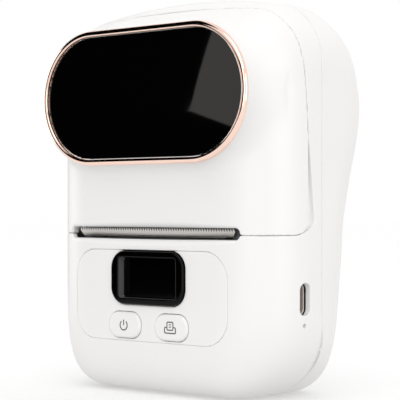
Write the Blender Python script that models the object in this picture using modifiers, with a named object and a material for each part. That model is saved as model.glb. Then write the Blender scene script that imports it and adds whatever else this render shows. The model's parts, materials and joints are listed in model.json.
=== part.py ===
"""Portable thermal label printer, as an assembly of separate pieces.

Metres, +Z up. The front, with the display and the paper exit, faces -Y, and the USB socket faces +X.
The origin is on the resting surface, under the middle of the object's box. The roll's axis lies along X.
"""

import math

import bmesh
import bpy
from mathutils import Matrix, Vector

MM = 0.001
GAP = 0.3 * MM

# Body form
HEIGHT = 122.3 * MM
HALF_WIDTH = 47.5 * MM
FRONT_Y = -25.6 * MM
FOOT_REAR_Y = 17.1 * MM
WAIST_REAR_Y = 22.5 * MM
CREST_REAR_Y = 32.0 * MM
WAIST_Z = 44.0 * MM
CREST_Z = 90.0 * MM
NAPE_DEPTH = 27.7 * MM
CROWN = 2.5  # per metre: how fast the roof falls away to the sides
TOP_ROUND = 15.3 * MM
FOOT_ROUND = 22.9 * MM
BROW_ROUND = 23.5 * MM
TOE_BLEND = 4.9 * MM
HEEL_BLEND = 2.8 * MM
FRONT_CORNER = 21.2 * MM
REAR_CORNER = 19.0 * MM
WALL = 2.0 * MM
RING_POINTS = 40
MIDDLE_Y = 1.0 * MM
STAND_Y = -0.9 * MM  # how far the assembly is moved to stand its origin under the middle of its box

# Partings
SEAM_Y = -0.6 * MM
LID_Z = 49.4 * MM
LID_SIDE_Y = -6.9 * MM
LID_CORNER = 5.0 * MM
HINGE = Vector((0, -15.5, 114.1)) * MM
HINGE_CLEAR = 3.9 * MM

# Window pod
WINDOW_Z = 91.8 * MM
BEZEL_HALF_W, BEZEL_R = 42.0 * MM, 21.1 * MM
PANEL_HALF_W, PANEL_R = 39.9 * MM, 19.3 * MM
POD_HALF_W, POD_R = 41.0 * MM, 20.1 * MM
POD_BORE_HALF_W, POD_BORE_R = 38.2 * MM, 17.4 * MM
BEZEL_FRONT_Y = -30.2 * MM
POD_FRONT_Y = -27.3 * MM

# Control panel
FACE_W, FACE_H, FACE_R = 62.4 * MM, 28.4 * MM, 8.5 * MM
FACE_Z = 30.5 * MM
FACE_DEPTH = 1.0 * MM
LENS_W, LENS_H, LENS_R = 29.7 * MM, 16.4 * MM, 4.5 * MM
LENS_Z = 36.0 * MM
BUTTON_W, BUTTON_H = 13.2 * MM, 8.1 * MM
BUTTON_X, BUTTON_Z = 9.6 * MM, 21.3 * MM
SOCKET_Y, SOCKET_Z = -8.3 * MM, 30.5 * MM
RESET_Z = 22.8 * MM

# Print mechanism
PLATEN = Vector((0, -15.5, 56.6)) * MM
PLATEN_R = 4.6 * MM
PLATEN_HALF = 27.0 * MM
HEAD_DIRECTION = Vector((0, 1, -1)).normalized()
HEAD_ALONG = Vector((0, 1, 1)).normalized()
BLADE_Y = -22.6 * MM
BLADE_TIP_Z, BLADE_ROOT_Z = 51.4 * MM, 48.6 * MM
BLADE_TEETH = 64

# Gear train: module, teeth, and the directions in the YZ plane in which each gear meets the next
GEAR_MODULE = 0.5 * MM
PLATEN_TEETH, IDLER_TEETH = 18, 24
REDUCTION_SMALL, REDUCTION_LARGE, MOTOR_TEETH = 12, 36, 12
TO_IDLER = math.radians(-30)
TO_REDUCTION = math.radians(-60)
TO_MOTOR = math.radians(-20)
GEAR_X, GEAR_WIDTH = 34.8 * MM, 2.2 * MM
LARGE_X, LARGE_WIDTH = 37.5 * MM, 1.8 * MM

# Roll bay and its guides
ROLL = Vector((0, 3.0, 84.0)) * MM
BAY_R = 21.4 * MM
BAY_HALF = 31.0 * MM
BAY_WALL = 1.4 * MM
GUIDE_X = 27.0 * MM
RACK_Z, RACK_H = 57.8 * MM, 2.2 * MM
RACK_MODULE, RACK_PINION_TEETH = 0.8 * MM, 12
PINION_Y = 6.0 * MM

parts = bpy.data.collections.new("thermal_label_printer")
cutters = bpy.data.collections.new("cutters")


# ---------------------------------------------------------------- helpers


def clear_scene():
    for obj in list(bpy.data.objects):
        bpy.data.objects.remove(obj)


def material(name, colour, roughness, metallic=0.0):
    made = bpy.data.materials.new(name)
    made.use_nodes = True
    shader = made.node_tree.nodes["Principled BSDF"]
    shader.inputs["Base Color"].default_value = (*colour, 1)
    shader.inputs["Roughness"].default_value = roughness
    shader.inputs["Metallic"].default_value = metallic
    return made


def place(name, mesh, origin, look):
    """Links a mesh that is written in world coordinates, with its object's origin at the point given."""
    mesh.transform(Matrix.Translation(-Vector(origin)))
    obj = bpy.data.objects.new(name, mesh)
    obj.location = origin
    if look is None:
        cutters.objects.link(obj)
        obj.hide_render = True
        obj.display_type = "WIRE"
    else:
        parts.objects.link(obj)
        mesh.materials.append(look)
        mesh.shade_smooth()
        mesh.set_sharp_from_angle(angle=math.radians(35))
    return obj


def from_bmesh(name, bm, look, origin=(0, 0, 0)):
    mesh = bpy.data.meshes.new(name)
    bm.to_mesh(mesh)
    bm.free()
    return place(name, mesh, origin, look)


def box(name, low, high, look=None, origin=(0, 0, 0)):
    """A block between two corners, in millimetres."""
    low, high = Vector(low) * MM, Vector(high) * MM
    bm = bmesh.new()
    size = Matrix.Diagonal((*(high - low), 1))
    bmesh.ops.create_cube(bm, size=1, matrix=Matrix.Translation((low + high) / 2) @ size)
    return from_bmesh(name, bm, look, origin)


def rod(name, start, end, radius, look=None, sides=16, origin=(0, 0, 0), end_radius=None):
    """A round bar between two points, in metres."""
    start, end = Vector(start), Vector(end)
    axis = end - start
    bm = bmesh.new()
    turn = axis.to_track_quat("Z", "Y").to_matrix().to_4x4()
    bmesh.ops.create_cone(
        bm, cap_ends=True, segments=sides, radius1=radius, depth=axis.length,
        radius2=radius if end_radius is None else end_radius,
        matrix=Matrix.Translation((start + end) / 2) @ turn,
    )
    return from_bmesh(name, bm, look, origin)


AXES = {
    "X": Matrix(((0, 0, 1, 0), (1, 0, 0, 0), (0, 1, 0, 0), (0, 0, 0, 1))),
    "Y": Matrix(((1, 0, 0, 0), (0, 0, -1, 0), (0, 1, 0, 0), (0, 0, 0, 1))),
    "Z": Matrix.Identity(4),
}


def sheet(name, outlines, axis, low, high, look=None, origin=(0, 0, 0), turn=None):
    """A flat outline with its holes, filled and extruded from low to high along a world axis."""
    curve = bpy.data.curves.new(name, "CURVE")
    curve.dimensions = "2D"
    curve.fill_mode = "BOTH"
    curve.extrude = (high - low) / 2
    for outline in outlines:
        spline = curve.splines.new("POLY")
        spline.points.add(len(outline) - 1)
        for point, (a, b) in zip(spline.points, outline):
            point.co = (a, b, 0, 1)
        spline.use_cyclic_u = True
    helper = bpy.data.objects.new(name + "_outline", curve)
    bpy.context.scene.collection.objects.link(helper)
    graph = bpy.context.evaluated_depsgraph_get()
    mesh = bpy.data.meshes.new_from_object(helper.evaluated_get(graph))
    bpy.data.objects.remove(helper)
    bpy.data.curves.remove(curve)
    bm = bmesh.new()
    bm.from_mesh(mesh)
    bpy.data.meshes.remove(mesh)
    bmesh.ops.remove_doubles(bm, verts=bm.verts, dist=1e-6)
    bmesh.ops.recalc_face_normals(bm, faces=bm.faces)
    middle = (high + low) / 2 * (-1 if axis == "Y" else 1)
    bmesh.ops.transform(bm, verts=bm.verts, matrix=AXES[axis] @ Matrix.Translation((0, 0, middle)))
    if turn is not None:
        bmesh.ops.transform(bm, verts=bm.verts, matrix=turn)
    return from_bmesh(name, bm, look, origin)


def boolean(target, other, operation):
    modifier = target.modifiers.new(operation.lower(), "BOOLEAN")
    modifier.operation = operation
    modifier.object = other
    modifier.solver = "EXACT"
    return target


def cut(target, *others):
    for other in others:
        boolean(target, other, "DIFFERENCE")
    return target


def join(target, *others):
    for other in others:
        boolean(target, other, "UNION")
    return target


def keep(target, *others):
    for other in others:
        boolean(target, other, "INTERSECT")
    return target


def arc(centre, radius, start, end, steps):
    """Points on an arc, with the angles in degrees."""
    found = []
    for i in range(steps + 1):
        angle = math.radians(start + (end - start) * i / steps)
        found.append((centre[0] + radius * math.cos(angle), centre[1] + radius * math.sin(angle)))
    return found


def circle(centre, radius, steps=16):
    return arc(centre, radius, 0, 360, steps)[:-1]


def round_rect(centre, width, height, radius, steps=4):
    a, b = width / 2 - radius, height / 2 - radius
    found = []
    for i, (sx, sy) in enumerate(((1, 1), (-1, 1), (-1, -1), (1, -1))):
        corner = (centre[0] + sx * a, centre[1] + sy * b)
        found += arc(corner, radius, 90 * i, 90 * i + 90, steps)
    return found


def stadium(half_width, radius, centre_z=WINDOW_Z, steps=12):
    reach = half_width - radius
    return arc((reach, centre_z), radius, -90, 90, steps) + arc((-reach, centre_z), radius, 90, 270, steps)


# ---------------------------------------------------------------- body form


def smooth(t):
    t = min(max(t, 0), 1)
    return t * t * (3 - 2 * t)


def both(a, b, r):
    """Distance to what lies in both of two forms, with the edge where they meet rounded by r."""
    return min(-r, max(a, b)) + math.hypot(max(r + a, 0), max(r + b, 0))


def blended(a, b, k):
    top = max(a, b)
    return top + k * math.log(math.exp((a - top) / k) + math.exp((b - top) / k))


def rear_distance(y, z):
    """Distance to the rear outline: a leaning foot, a bulge up to the crest and an elliptical nape above it."""
    if z > CREST_Z:
        rise = HEIGHT - CREST_Z
        u, v = max(y - (CREST_REAR_Y - NAPE_DEPTH), 0), z - CREST_Z
        reach = math.hypot(u / NAPE_DEPTH, v / rise)
        return reach * (reach - 1) / (math.hypot(u / NAPE_DEPTH**2, v / rise**2) + 1e-9)
    t = min(max((z - WAIST_Z) / (CREST_Z - WAIST_Z), 0), 1)
    bulge = CREST_REAR_Y - WAIST_REAR_Y
    foot_lean = (WAIST_REAR_Y - FOOT_REAR_Y) / WAIST_Z
    rear = FOOT_REAR_Y + foot_lean * min(z, WAIST_Z) + bulge * smooth(t)
    lean = (foot_lean if z < WAIST_Z else 0) + bulge * 6 * t * (1 - t) / (CREST_Z - WAIST_Z)
    return (y - rear) / math.hypot(1, lean)


def body(x, y, z):
    """Distance to the body's closed form, negative inside it."""
    raised = z + CROWN * x * x * smooth((z - 70 * MM) / (45 * MM))
    front = both(FRONT_Y - y, raised - HEIGHT, BROW_ROUND)
    outline = max(front, rear_distance(y, raised))
    outline = blended(outline, -(raised + GAP), TOE_BLEND if y < 0 else HEEL_BLEND)
    top, foot = smooth((raised - 96 * MM) / (20 * MM)), smooth((24 * MM - raised) / (22 * MM))
    corner = FRONT_CORNER + (REAR_CORNER - FRONT_CORNER) * smooth((y + 14 * MM) / (24 * MM))
    corner = corner * (1 - top) * (1 - foot) + TOP_ROUND * top + FOOT_ROUND * foot
    return both(abs(x) - HALF_WIDTH, outline, corner)


def section(z, inset):
    """The body's plan outline at one height, drawn in by inset: where rays from its middle leave the form."""
    found = []
    for i in range(RING_POINTS):
        angle = 2 * math.pi * i / RING_POINTS
        ray = (HALF_WIDTH * math.cos(angle), 0.6 * HALF_WIDTH * math.sin(angle))
        near, far = 0.0, 2.0
        for _ in range(40):
            half = (near + far) / 2
            inside = body(ray[0] * half, MIDDLE_Y + ray[1] * half, z) + inset < 0
            near, far = (half, far) if inside else (near, half)
        found.append((ray[0] * near, MIDDLE_Y + ray[1] * near))
    return found


def levels(inset):
    """Heights of the sections, closer together where the form rounds off."""
    foot = [inset + climb * MM for climb in (0, 0.7, 1.8, 3.4, 5.6, 8.5, 12, 16.5)]
    middle = [z * MM for z in (24, 34, 44, 52, 60, 68, 76, 83, 90, 96)]
    top = [HEIGHT - inset - drop * MM for drop in (21, 16.5, 12.5, 9, 6.2, 4, 2.4, 1.2, 0.5, 0.15)]
    return foot + middle + top


def form(name, inset):
    """The closed body form, drawn in by inset: a loft of sections that differ at every height."""
    bm = bmesh.new()
    rings = []
    for z in levels(inset):
        rings.append([bm.verts.new((x, y, z)) for x, y in section(z, inset)])
    for below, above in zip(rings, rings[1:]):
        for i in range(RING_POINTS):
            j = (i + 1) % RING_POINTS
            bm.faces.new((below[i], below[j], above[j], above[i]))
    bm.faces.new(rings[-1])
    bm.faces.new(list(reversed(rings[0])))
    bmesh.ops.recalc_face_normals(bm, faces=bm.faces)
    return from_bmesh(name, bm, None)


def lid_side(margin):
    """The lid's region in the YZ plane, drawn in by margin: the outline that parts it from the body."""
    rear, low, r = LID_SIDE_Y - margin, LID_Z + margin, LID_CORNER - margin
    found = [(-45 * MM, low)]
    found += arc((rear - r, low + r), r, -90, 0, 4)
    for y, z in ((-6.9, 68), (-7.2, 80), (-8.5, 93), (-10.3, 104), (-11.3, 109)):
        found.append((y * MM - margin, z * MM))
    found += arc((HINGE.y, HINGE.z), HINGE_CLEAR - margin, 0, 100, 7)
    found += [(HINGE.y - 1 * MM, 130 * MM), (-45 * MM, 130 * MM)]
    return found


def shell(name, look):
    """The body's whole skin, to be kept to one region. Its inner form is shared by all."""
    return form_copy(name, OUTER, look, cut_by=INNER)


def form_copy(name, source, look, cut_by=None):
    obj = bpy.data.objects.new(name, source.data.copy())
    obj.data.materials.append(look)
    obj.data.shade_smooth()
    obj.data.set_sharp_from_angle(angle=math.radians(35))
    parts.objects.link(obj)
    if cut_by is not None:
        cut(obj, cut_by)
    return obj


def at_hinge(obj, point):
    """Moves an object's origin to a point on its joint's axis, and leaves its shape where it is."""
    shift = Vector(point) - obj.location
    obj.data.transform(Matrix.Translation(-shift))
    obj.location = point


clear_scene()
bpy.context.scene.collection.children.link(parts)
bpy.context.scene.collection.children.link(cutters)

WHITE = material("satin_white", (0.88, 0.88, 0.89), 0.35)
INSIDE = material("matt_grey_plastic", (0.32, 0.33, 0.35), 0.6)
GOLD = material("rose_gold", (0.86, 0.6, 0.5), 0.15, 1.0)
BLACK = material("gloss_black", (0.01, 0.01, 0.012), 0.05)
STEEL = material("steel", (0.6, 0.6, 0.62), 0.3, 1.0)
RUBBER = material("black_rubber", (0.03, 0.03, 0.03), 0.8)
ACETAL = material("white_acetal", (0.8, 0.8, 0.76), 0.4)
BOARD = material("green_board", (0.02, 0.2, 0.08), 0.5)
CERAMIC = material("head_ceramic", (0.7, 0.6, 0.4), 0.3)
CELL = material("cell_sleeve", (0.1, 0.25, 0.5), 0.4)
FLEX = material("amber_flex", (0.6, 0.35, 0.08), 0.4)

OUTER = form("body_form", 0)
INNER = form("cavity_form", WALL)
MIDDLE = form("mid_wall_form", WALL / 2)


# ---------------------------------------------------------------- casings


def window_pod():
    """The pod's wall, which runs from the window back into the lid's skin, and the bore through it."""
    wall = sheet("pod_wall", [stadium(POD_HALF_W, POD_R)], "Y", POD_FRONT_Y, -18.7 * MM)
    bore = sheet("pod_bore", [stadium(POD_BORE_HALF_W, POD_BORE_R)], "Y", -40 * MM, -10 * MM)
    return wall, bore


def exit_cutter():
    """The lens-shaped paper exit, half in the lid and half in the front housing."""
    outline = round_rect((0, 49.9 * MM), 73 * MM, 6 * MM, 2.9 * MM)
    return sheet("exit_cutter", [outline], "Y", -40 * MM, -19 * MM)


def lid_shell(pod_wall, pod_bore, exit_hole):
    region = sheet("lid_region", [lid_side(0.2 * MM)], "X", -60 * MM, 60 * MM)
    obj = shell("lid_shell", WHITE)
    keep(obj, region)
    join(obj, pod_wall)
    cut(obj, pod_bore, exit_hole)
    lugs = [
        sheet(f"lug_{side}", [lug_outline()], "X", *sorted((side * 18.7 * MM, side * 20.8 * MM)))
        for side in (-1, 1)
    ]
    join(obj, *lugs)
    hole = rod("lug_hole", (-22 * MM, HINGE.y, HINGE.z), (22 * MM, HINGE.y, HINGE.z), 0.95 * MM, sides=12)
    cut(obj, hole)
    for side in (-1, 1):
        low, high = sorted((side * 15.0, side * 18.5))
        pocket = rod(
            f"ear_pocket_{side}", (low * MM, HINGE.y, HINGE.z), (high * MM, HINGE.y, HINGE.z), 2.0 * MM
        )
        cut(obj, pocket)
    at_hinge(obj, HINGE)
    return obj


def lug_outline():
    """A hinge lug: an eye round the pin that runs into the lid's wall."""
    centre = (HINGE.y, HINGE.z)
    return arc(centre, 1.9 * MM, -60, 60, 6) + arc(centre, 2.6 * MM, 110, 210, 6)


def front_housing(exit_hole):
    obj = shell("front_housing", WHITE)
    half = box("front_half", (-60, -60, -10), (60, SEAM_Y / MM - 0.15, 130))
    keep(obj, half)
    region = sheet("lid_region_clear", [lid_side(-0.2 * MM)], "X", -60 * MM, 60 * MM)
    cut(obj, region, exit_hole)
    bosses = []
    for name, x, z, front in SCREWS:
        start = (-22.5 if front else -6.2) * MM
        bosses.append(rod(f"boss_{name}", (x, start, z), (x, SEAM_Y - 0.3 * MM, z), 3.0 * MM, sides=12))
        if not front:
            near, far = sorted((x / MM, math.copysign(46.8, x)))
            bosses.append(box(f"boss_web_{name}", (near, -6.2, z / MM - 0.9), (far, SEAM_Y / MM - 0.3, z / MM + 0.9)))
    for side in (-1, 1):
        low, high = sorted((side * 33.5, side * 42.0))
        bosses.append(box(f"chassis_rib_{side}", (low, -23.0, 45.0), (high, -12.0, 46.8)))
    for boss in bosses:
        keep(boss, MIDDLE)
    join(obj, *bosses)
    for name, x, z, front in SCREWS:
        depth = (-18 if front else -4.6) * MM
        cut(obj, rod(f"thread_{name}", (x, depth, z), (x, 2 * MM, z), 1.5 * MM, sides=12))
    cut(obj, *panel_cutters())
    socket = sheet(
        "socket_cutter", [round_rect((SOCKET_Y, SOCKET_Z), 3.9 * MM, 9.4 * MM, 1.9 * MM)],
        "X", 40 * MM, 60 * MM,
    )
    reset = rod("reset_hole", (40 * MM, SOCKET_Y - 0.9 * MM, RESET_Z), (60 * MM, SOCKET_Y - 0.9 * MM, RESET_Z),
                0.5 * MM, sides=8)
    cut(obj, socket, reset)
    for side in (-1, 1):
        x = side * 37.0 * MM
        cut(obj, rod(f"rib_hole_{side}", (x, -15 * MM, 40 * MM), (x, -15 * MM, 50 * MM), 0.9 * MM, sides=8))
    return obj


def panel_cutters():
    """The face plate's recess in the front housing, and the holes for the lens and the buttons."""
    recess = sheet(
        "panel_recess", [round_rect((0, FACE_Z), FACE_W + GAP, FACE_H + GAP, FACE_R)],
        "Y", -40 * MM, FRONT_Y + FACE_DEPTH + GAP,
    )
    return [recess, *face_holes("housing")]


def face_holes(owner):
    lens = sheet(
        f"lens_hole_{owner}", [round_rect((0, LENS_Z), LENS_W + 2 * GAP, LENS_H + 2 * GAP, LENS_R)],
        "Y", -40 * MM, -20 * MM,
    )
    holes = [lens]
    for side in (-1, 1):
        outline = round_rect((side * BUTTON_X, BUTTON_Z), BUTTON_W + 2 * GAP, BUTTON_H + 2 * GAP, 4 * MM)
        holes.append(sheet(f"button_hole_{owner}_{side}", [outline], "Y", -40 * MM, -20 * MM))
    return holes


# Housing screws: name, x, z, and whether the boss stands on the front wall or hangs from the side wall by a web
SCREWS = (
    ("1", -36.0 * MM, 16.0 * MM, True),
    ("2", 36.0 * MM, 16.0 * MM, True),
    ("3", -38.0 * MM, 96.0 * MM, False),
    ("4", 38.0 * MM, 96.0 * MM, False),
)


def rear_housing():
    obj = shell("rear_housing", WHITE)
    half = box("rear_half", (-60, SEAM_Y / MM + 0.15, -10), (60, 60, 130))
    keep(obj, half)
    towers = []
    for name, x, z, front in SCREWS:
        towers.append(rod(f"tower_{name}", (x, 1.0 * MM, z), (x, CREST_REAR_Y, z), 3.4 * MM, sides=12))
    for tower in towers:
        keep(tower, MIDDLE)
    join(obj, *towers)
    for name, x, z, front in SCREWS:
        cut(obj, rod(f"counterbore_{name}", (x, 3.0 * MM, z), (x, 60 * MM, z), 2.6 * MM, sides=12))
        cut(obj, rod(f"clearance_{name}", (x, -5 * MM, z), (x, 10 * MM, z), 1.5 * MM, sides=12))
    return obj


def screw(name, start, axis, shank, head_r=2.2 * MM, head_h=1.6 * MM, shank_r=1.2 * MM):
    """A pan-head screw: the head's underside is at start, and the shank runs along axis."""
    start, axis = Vector(start), Vector(axis).normalized()
    obj = rod(name, start - axis * head_h, start, head_r, STEEL, sides=12, origin=start)
    stem = rod(f"{name}_shank", start - axis * 0.5 * MM, start + axis * shank, shank_r, sides=10)
    slot = rod(f"{name}_drive", start - axis * 3 * MM, start - axis * (head_h - 0.8 * MM), 0.9 * MM, sides=6)
    join(obj, stem)
    cut(obj, slot)
    return obj


def control_panel():
    obj = form_copy("control_panel", OUTER, WHITE)
    inner = box("face_back", (-60, FRONT_Y / MM + FACE_DEPTH / MM, -10), (60, 60, 130))
    region = sheet("face_region", [round_rect((0, FACE_Z), FACE_W - GAP, FACE_H - GAP, FACE_R)],
                   "Y", -40 * MM, 0)
    keep(obj, region)
    cut(obj, inner, *face_holes("face"))
    return obj


def window_pieces():
    ring = [stadium(BEZEL_HALF_W, BEZEL_R), stadium(PANEL_HALF_W + GAP / 2, PANEL_R + GAP / 2)]
    bezel = sheet("window_bezel", ring, "Y", BEZEL_FRONT_Y, POD_FRONT_Y - GAP, GOLD, HINGE)
    bevel = bezel.modifiers.new("bevel", "BEVEL")
    bevel.width = 0.35 * MM
    bevel.segments = 1
    bevel.angle_limit = math.radians(60)
    panel = sheet("window_panel", [stadium(PANEL_HALF_W - GAP / 2, PANEL_R - GAP / 2)], "Y",
                  BEZEL_FRONT_Y + 0.7 * MM, POD_FRONT_Y - GAP, BLACK, HINGE)
    return bezel, panel


def lens_and_buttons():
    lens = sheet("display_lens", [round_rect((0, LENS_Z), LENS_W, LENS_H, LENS_R)], "Y",
                 FRONT_Y - 1.0 * MM, FRONT_Y + 2.6 * MM, BLACK)
    bevel = lens.modifiers.new("bevel", "BEVEL")
    bevel.width = 0.6 * MM
    bevel.segments = 2
    bevel.angle_limit = math.radians(60)
    for name, side in (("power", -1), ("print", 1)):
        origin = Vector((side * BUTTON_X, FRONT_Y, BUTTON_Z))
        cap = sheet(f"{name}_button", [round_rect((origin.x, origin.z), BUTTON_W, BUTTON_H, 4 * MM)], "Y",
                    FRONT_Y - 0.5 * MM, FRONT_Y + 2.4 * MM, WHITE, origin)
        stem = rod(f"{name}_stem", origin, origin + Vector((0, 4.4 * MM, 0)), 1.2 * MM, sides=10)
        join(cap, stem)
        centre = (side * BUTTON_X, BUTTON_Z)
        box(f"{name}_switch", (centre[0] / MM - 3, FRONT_Y / MM + 5.5, centre[1] / MM - 3),
            (centre[0] / MM + 3, FRONT_Y / MM + 7.5, centre[1] / MM + 3), STEEL)


# ---------------------------------------------------------------- lid and platen


def lid_frame():
    """The lid's inner frame: a plate behind the window with two arms that carry the platen's shaft."""
    plate = sheet("lid_liner", [round_rect((0, 83.5 * MM), 60 * MM, 43 * MM, 6 * MM)], "Y",
                  -18.3 * MM, -16.9 * MM, INSIDE, HINGE)
    arms = []
    for side in (-1, 1):
        centre = (PLATEN.y, PLATEN.z)
        outline = arc(centre, 3.0 * MM, 180, 360, 8)
        outline += [(PLATEN.y + 3.0 * MM, 61 * MM), (-16.9 * MM, 66 * MM), (-18.5 * MM, 66 * MM)]
        arms.append(sheet(f"lid_arm_{side}", [outline], "X",
                          *sorted((side * 27.4 * MM, side * 28.9 * MM))))
    join(plate, *arms)
    hole = rod("shaft_hole", (-40 * MM, PLATEN.y, PLATEN.z), (40 * MM, PLATEN.y, PLATEN.z), 1.75 * MM, sides=12)
    cut(plate, hole)
    return plate


def hinge_parts():
    """The fixed bracket under the roof, with an ear at each pin, and the two pins.

    Each ear's arm leaves the pin backwards and down, below where the open lid's edge comes to lie.
    """
    bracket = box("hinge_bracket", (-22, -6.2, 106.2), (22, -4.8, 117.2), INSIDE)
    for side in (-1, 1):
        centre = (HINGE.y, HINGE.z)
        outline = arc(centre, 1.6 * MM, -21, 217, 12)
        outline += [(-13.8 * MM, 109.1 * MM), (-6.0 * MM, 106.6 * MM), (-5.4 * MM, 106.6 * MM),
                    (-5.4 * MM, 110.4 * MM), (-12.2 * MM, 111.1 * MM)]
        ear = sheet(f"hinge_ear_{side}", [outline], "X", *sorted((side * 15.3 * MM, side * 18.2 * MM)))
        join(bracket, ear)
    hole = rod("ear_hole", (-22 * MM, HINGE.y, HINGE.z), (22 * MM, HINGE.y, HINGE.z), 0.95 * MM, sides=12)
    cut(bracket, hole)
    for name, side in (("left", -1), ("right", 1)):
        rod(f"hinge_pin_{name}", (side * 15.1 * MM, HINGE.y, HINGE.z), (side * 21.2 * MM, HINGE.y, HINGE.z),
            0.75 * MM, STEEL, 12, HINGE)


def bar(name, low, high, radius, look, sides=16, bore=0, origin=None):
    """A round piece on the platen's axis between two X positions, in millimetres."""
    centre = origin or PLATEN
    obj = rod(name, (low * MM, centre.y, centre.z), (high * MM, centre.y, centre.z), radius, look, sides, centre)
    if bore:
        cut(obj, rod(f"{name}_bore", ((low - 1) * MM, centre.y, centre.z),
                     ((high + 1) * MM, centre.y, centre.z), bore, sides=sides))
    return obj


def platen_parts():
    bar("platen_roller", -27, 27, PLATEN_R, RUBBER, 24, 1.75 * MM)
    bar("platen_shaft", -32.6, 36.4, 1.5 * MM, STEEL, 12)
    for name, side in (("left", -1), ("right", 1)):
        low, high = sorted((side * 29.8, side * 32.0))
        bar(f"platen_bush_{name}", low, high, 3.0 * MM, ACETAL, 16, 1.75 * MM)


# ---------------------------------------------------------------- gears


def gear_outline(teeth, module, centre, phase):
    """A spur gear's outline with straight-flanked teeth, thin enough to leave backlash."""
    pitch = 2 * math.pi / teeth
    root, tip = (teeth / 2 - 1.15) * module, (teeth / 2 + 0.8) * module
    found = []
    for i in range(teeth):
        angle = phase + i * pitch
        for radius, offset in ((root, -0.26), (tip, -0.1), (tip, 0.1), (root, 0.26)):
            a = angle + offset * pitch
            found.append((centre[0] + radius * math.cos(a), centre[1] + radius * math.sin(a)))
    return found


def meshed_phase(phase, teeth, other_teeth, direction):
    """The phase of the gear that lies in that direction, so that its teeth fall between this gear's."""
    share = (phase - direction) / (2 * math.pi / teeth) + 0.5
    return direction + math.pi - share * 2 * math.pi / other_teeth


def step(point, direction, teeth, other_teeth):
    """The centre of the next gear, in the YZ plane."""
    reach = GEAR_MODULE * (teeth + other_teeth) / 2
    return (point[0] + reach * math.cos(direction), point[1] + reach * math.sin(direction))


PLATEN_C = (PLATEN.y, PLATEN.z)
IDLER_C = step(PLATEN_C, TO_IDLER, PLATEN_TEETH, IDLER_TEETH)
REDUCTION_C = step(IDLER_C, TO_REDUCTION, IDLER_TEETH, REDUCTION_SMALL)
MOTOR_C = step(REDUCTION_C, TO_MOTOR, REDUCTION_LARGE, MOTOR_TEETH)


def spur(name, teeth, centre, phase, x, width, look, bore):
    origin = Vector((0, *centre))
    outlines = [gear_outline(teeth, GEAR_MODULE, centre, phase)]
    if bore:
        outlines.append(circle(centre, bore, 12))
    return sheet(name, outlines, "X", x - width / 2, x + width / 2, look, origin)


def gear_train():
    phase_p = TO_IDLER
    phase_i = meshed_phase(phase_p, PLATEN_TEETH, IDLER_TEETH, TO_IDLER)
    phase_r = meshed_phase(phase_i, IDLER_TEETH, REDUCTION_SMALL, TO_REDUCTION)
    phase_m = meshed_phase(phase_r, REDUCTION_LARGE, MOTOR_TEETH, TO_MOTOR)
    spur("platen_gear", PLATEN_TEETH, PLATEN_C, phase_p, GEAR_X, GEAR_WIDTH, ACETAL, 1.75 * MM)
    spur("idler_gear", IDLER_TEETH, IDLER_C, phase_i, GEAR_X, GEAR_WIDTH, ACETAL, 1.0 * MM)
    large = spur("reduction_gear", REDUCTION_LARGE, REDUCTION_C, phase_r, LARGE_X, LARGE_WIDTH, ACETAL, 0)
    small = spur("reduction_small", REDUCTION_SMALL, REDUCTION_C, phase_r, GEAR_X + 0.3 * MM,
                 GEAR_WIDTH + 1.4 * MM, None, 0)
    join(large, small)
    cut(large, rod("reduction_bore", (30 * MM, *REDUCTION_C), (42 * MM, *REDUCTION_C), 1.0 * MM, sides=12))
    pinion = spur("motor_pinion", MOTOR_TEETH, MOTOR_C, phase_m, LARGE_X, LARGE_WIDTH, STEEL, 0)
    join(pinion, rod("motor_spindle", (32.2 * MM, *MOTOR_C), (LARGE_X, *MOTOR_C), 0.75 * MM, sides=12))
    rod("idler_axle", (31.9 * MM, *IDLER_C), (36.6 * MM, *IDLER_C), 0.8 * MM, STEEL, 12, (0, *IDLER_C))
    rod("reduction_axle", (31.9 * MM, *REDUCTION_C), (39.2 * MM, *REDUCTION_C), 0.8 * MM, STEEL, 12,
        (0, *REDUCTION_C))


def drive_frame():
    """The steel plate that carries the motor and the gear axles, and the motor on its inner face."""
    outline = [(-9.5 * MM, 47 * MM), (-9.5 * MM, 54.2 * MM), (-2.5 * MM, 54.2 * MM), (15 * MM, 48 * MM),
               (16.6 * MM, 44 * MM), (16.6 * MM, 31 * MM), (2 * MM, 31 * MM), (-5 * MM, 38 * MM)]
    holes = [circle(c, r, 12) for c, r in
             ((IDLER_C, 0.95 * MM), (REDUCTION_C, 0.95 * MM), (MOTOR_C, 1.2 * MM))]
    sheet("gear_plate", [outline, *holes], "X", 32.1 * MM, 33.0 * MM, STEEL)
    rod("stepper_motor", (19.8 * MM, *MOTOR_C), (31.8 * MM, *MOTOR_C), 7.5 * MM, STEEL, 24,
        (0, *MOTOR_C))


# ---------------------------------------------------------------- print mechanism


def head_point(depth, along=0.0, x=0.0):
    """A point reckoned from the line where the platen meets the head, in millimetres."""
    contact = PLATEN + HEAD_DIRECTION * PLATEN_R
    return contact + HEAD_DIRECTION * depth * MM + HEAD_ALONG * along * MM + Vector((x * MM, 0, 0))


def head_block(name, half_x, depths, alongs, look=None, origin=(0, 0, 0)):
    """A block whose thickness lies along the head's direction."""
    outline = []
    for depth, along in ((depths[0], alongs[0]), (depths[1], alongs[0]), (depths[1], alongs[1]),
                         (depths[0], alongs[1])):
        point = head_point(depth, along)
        outline.append((point.y, point.z))
    return sheet(name, [outline], "X", -half_x * MM, half_x * MM, look, origin)


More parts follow.
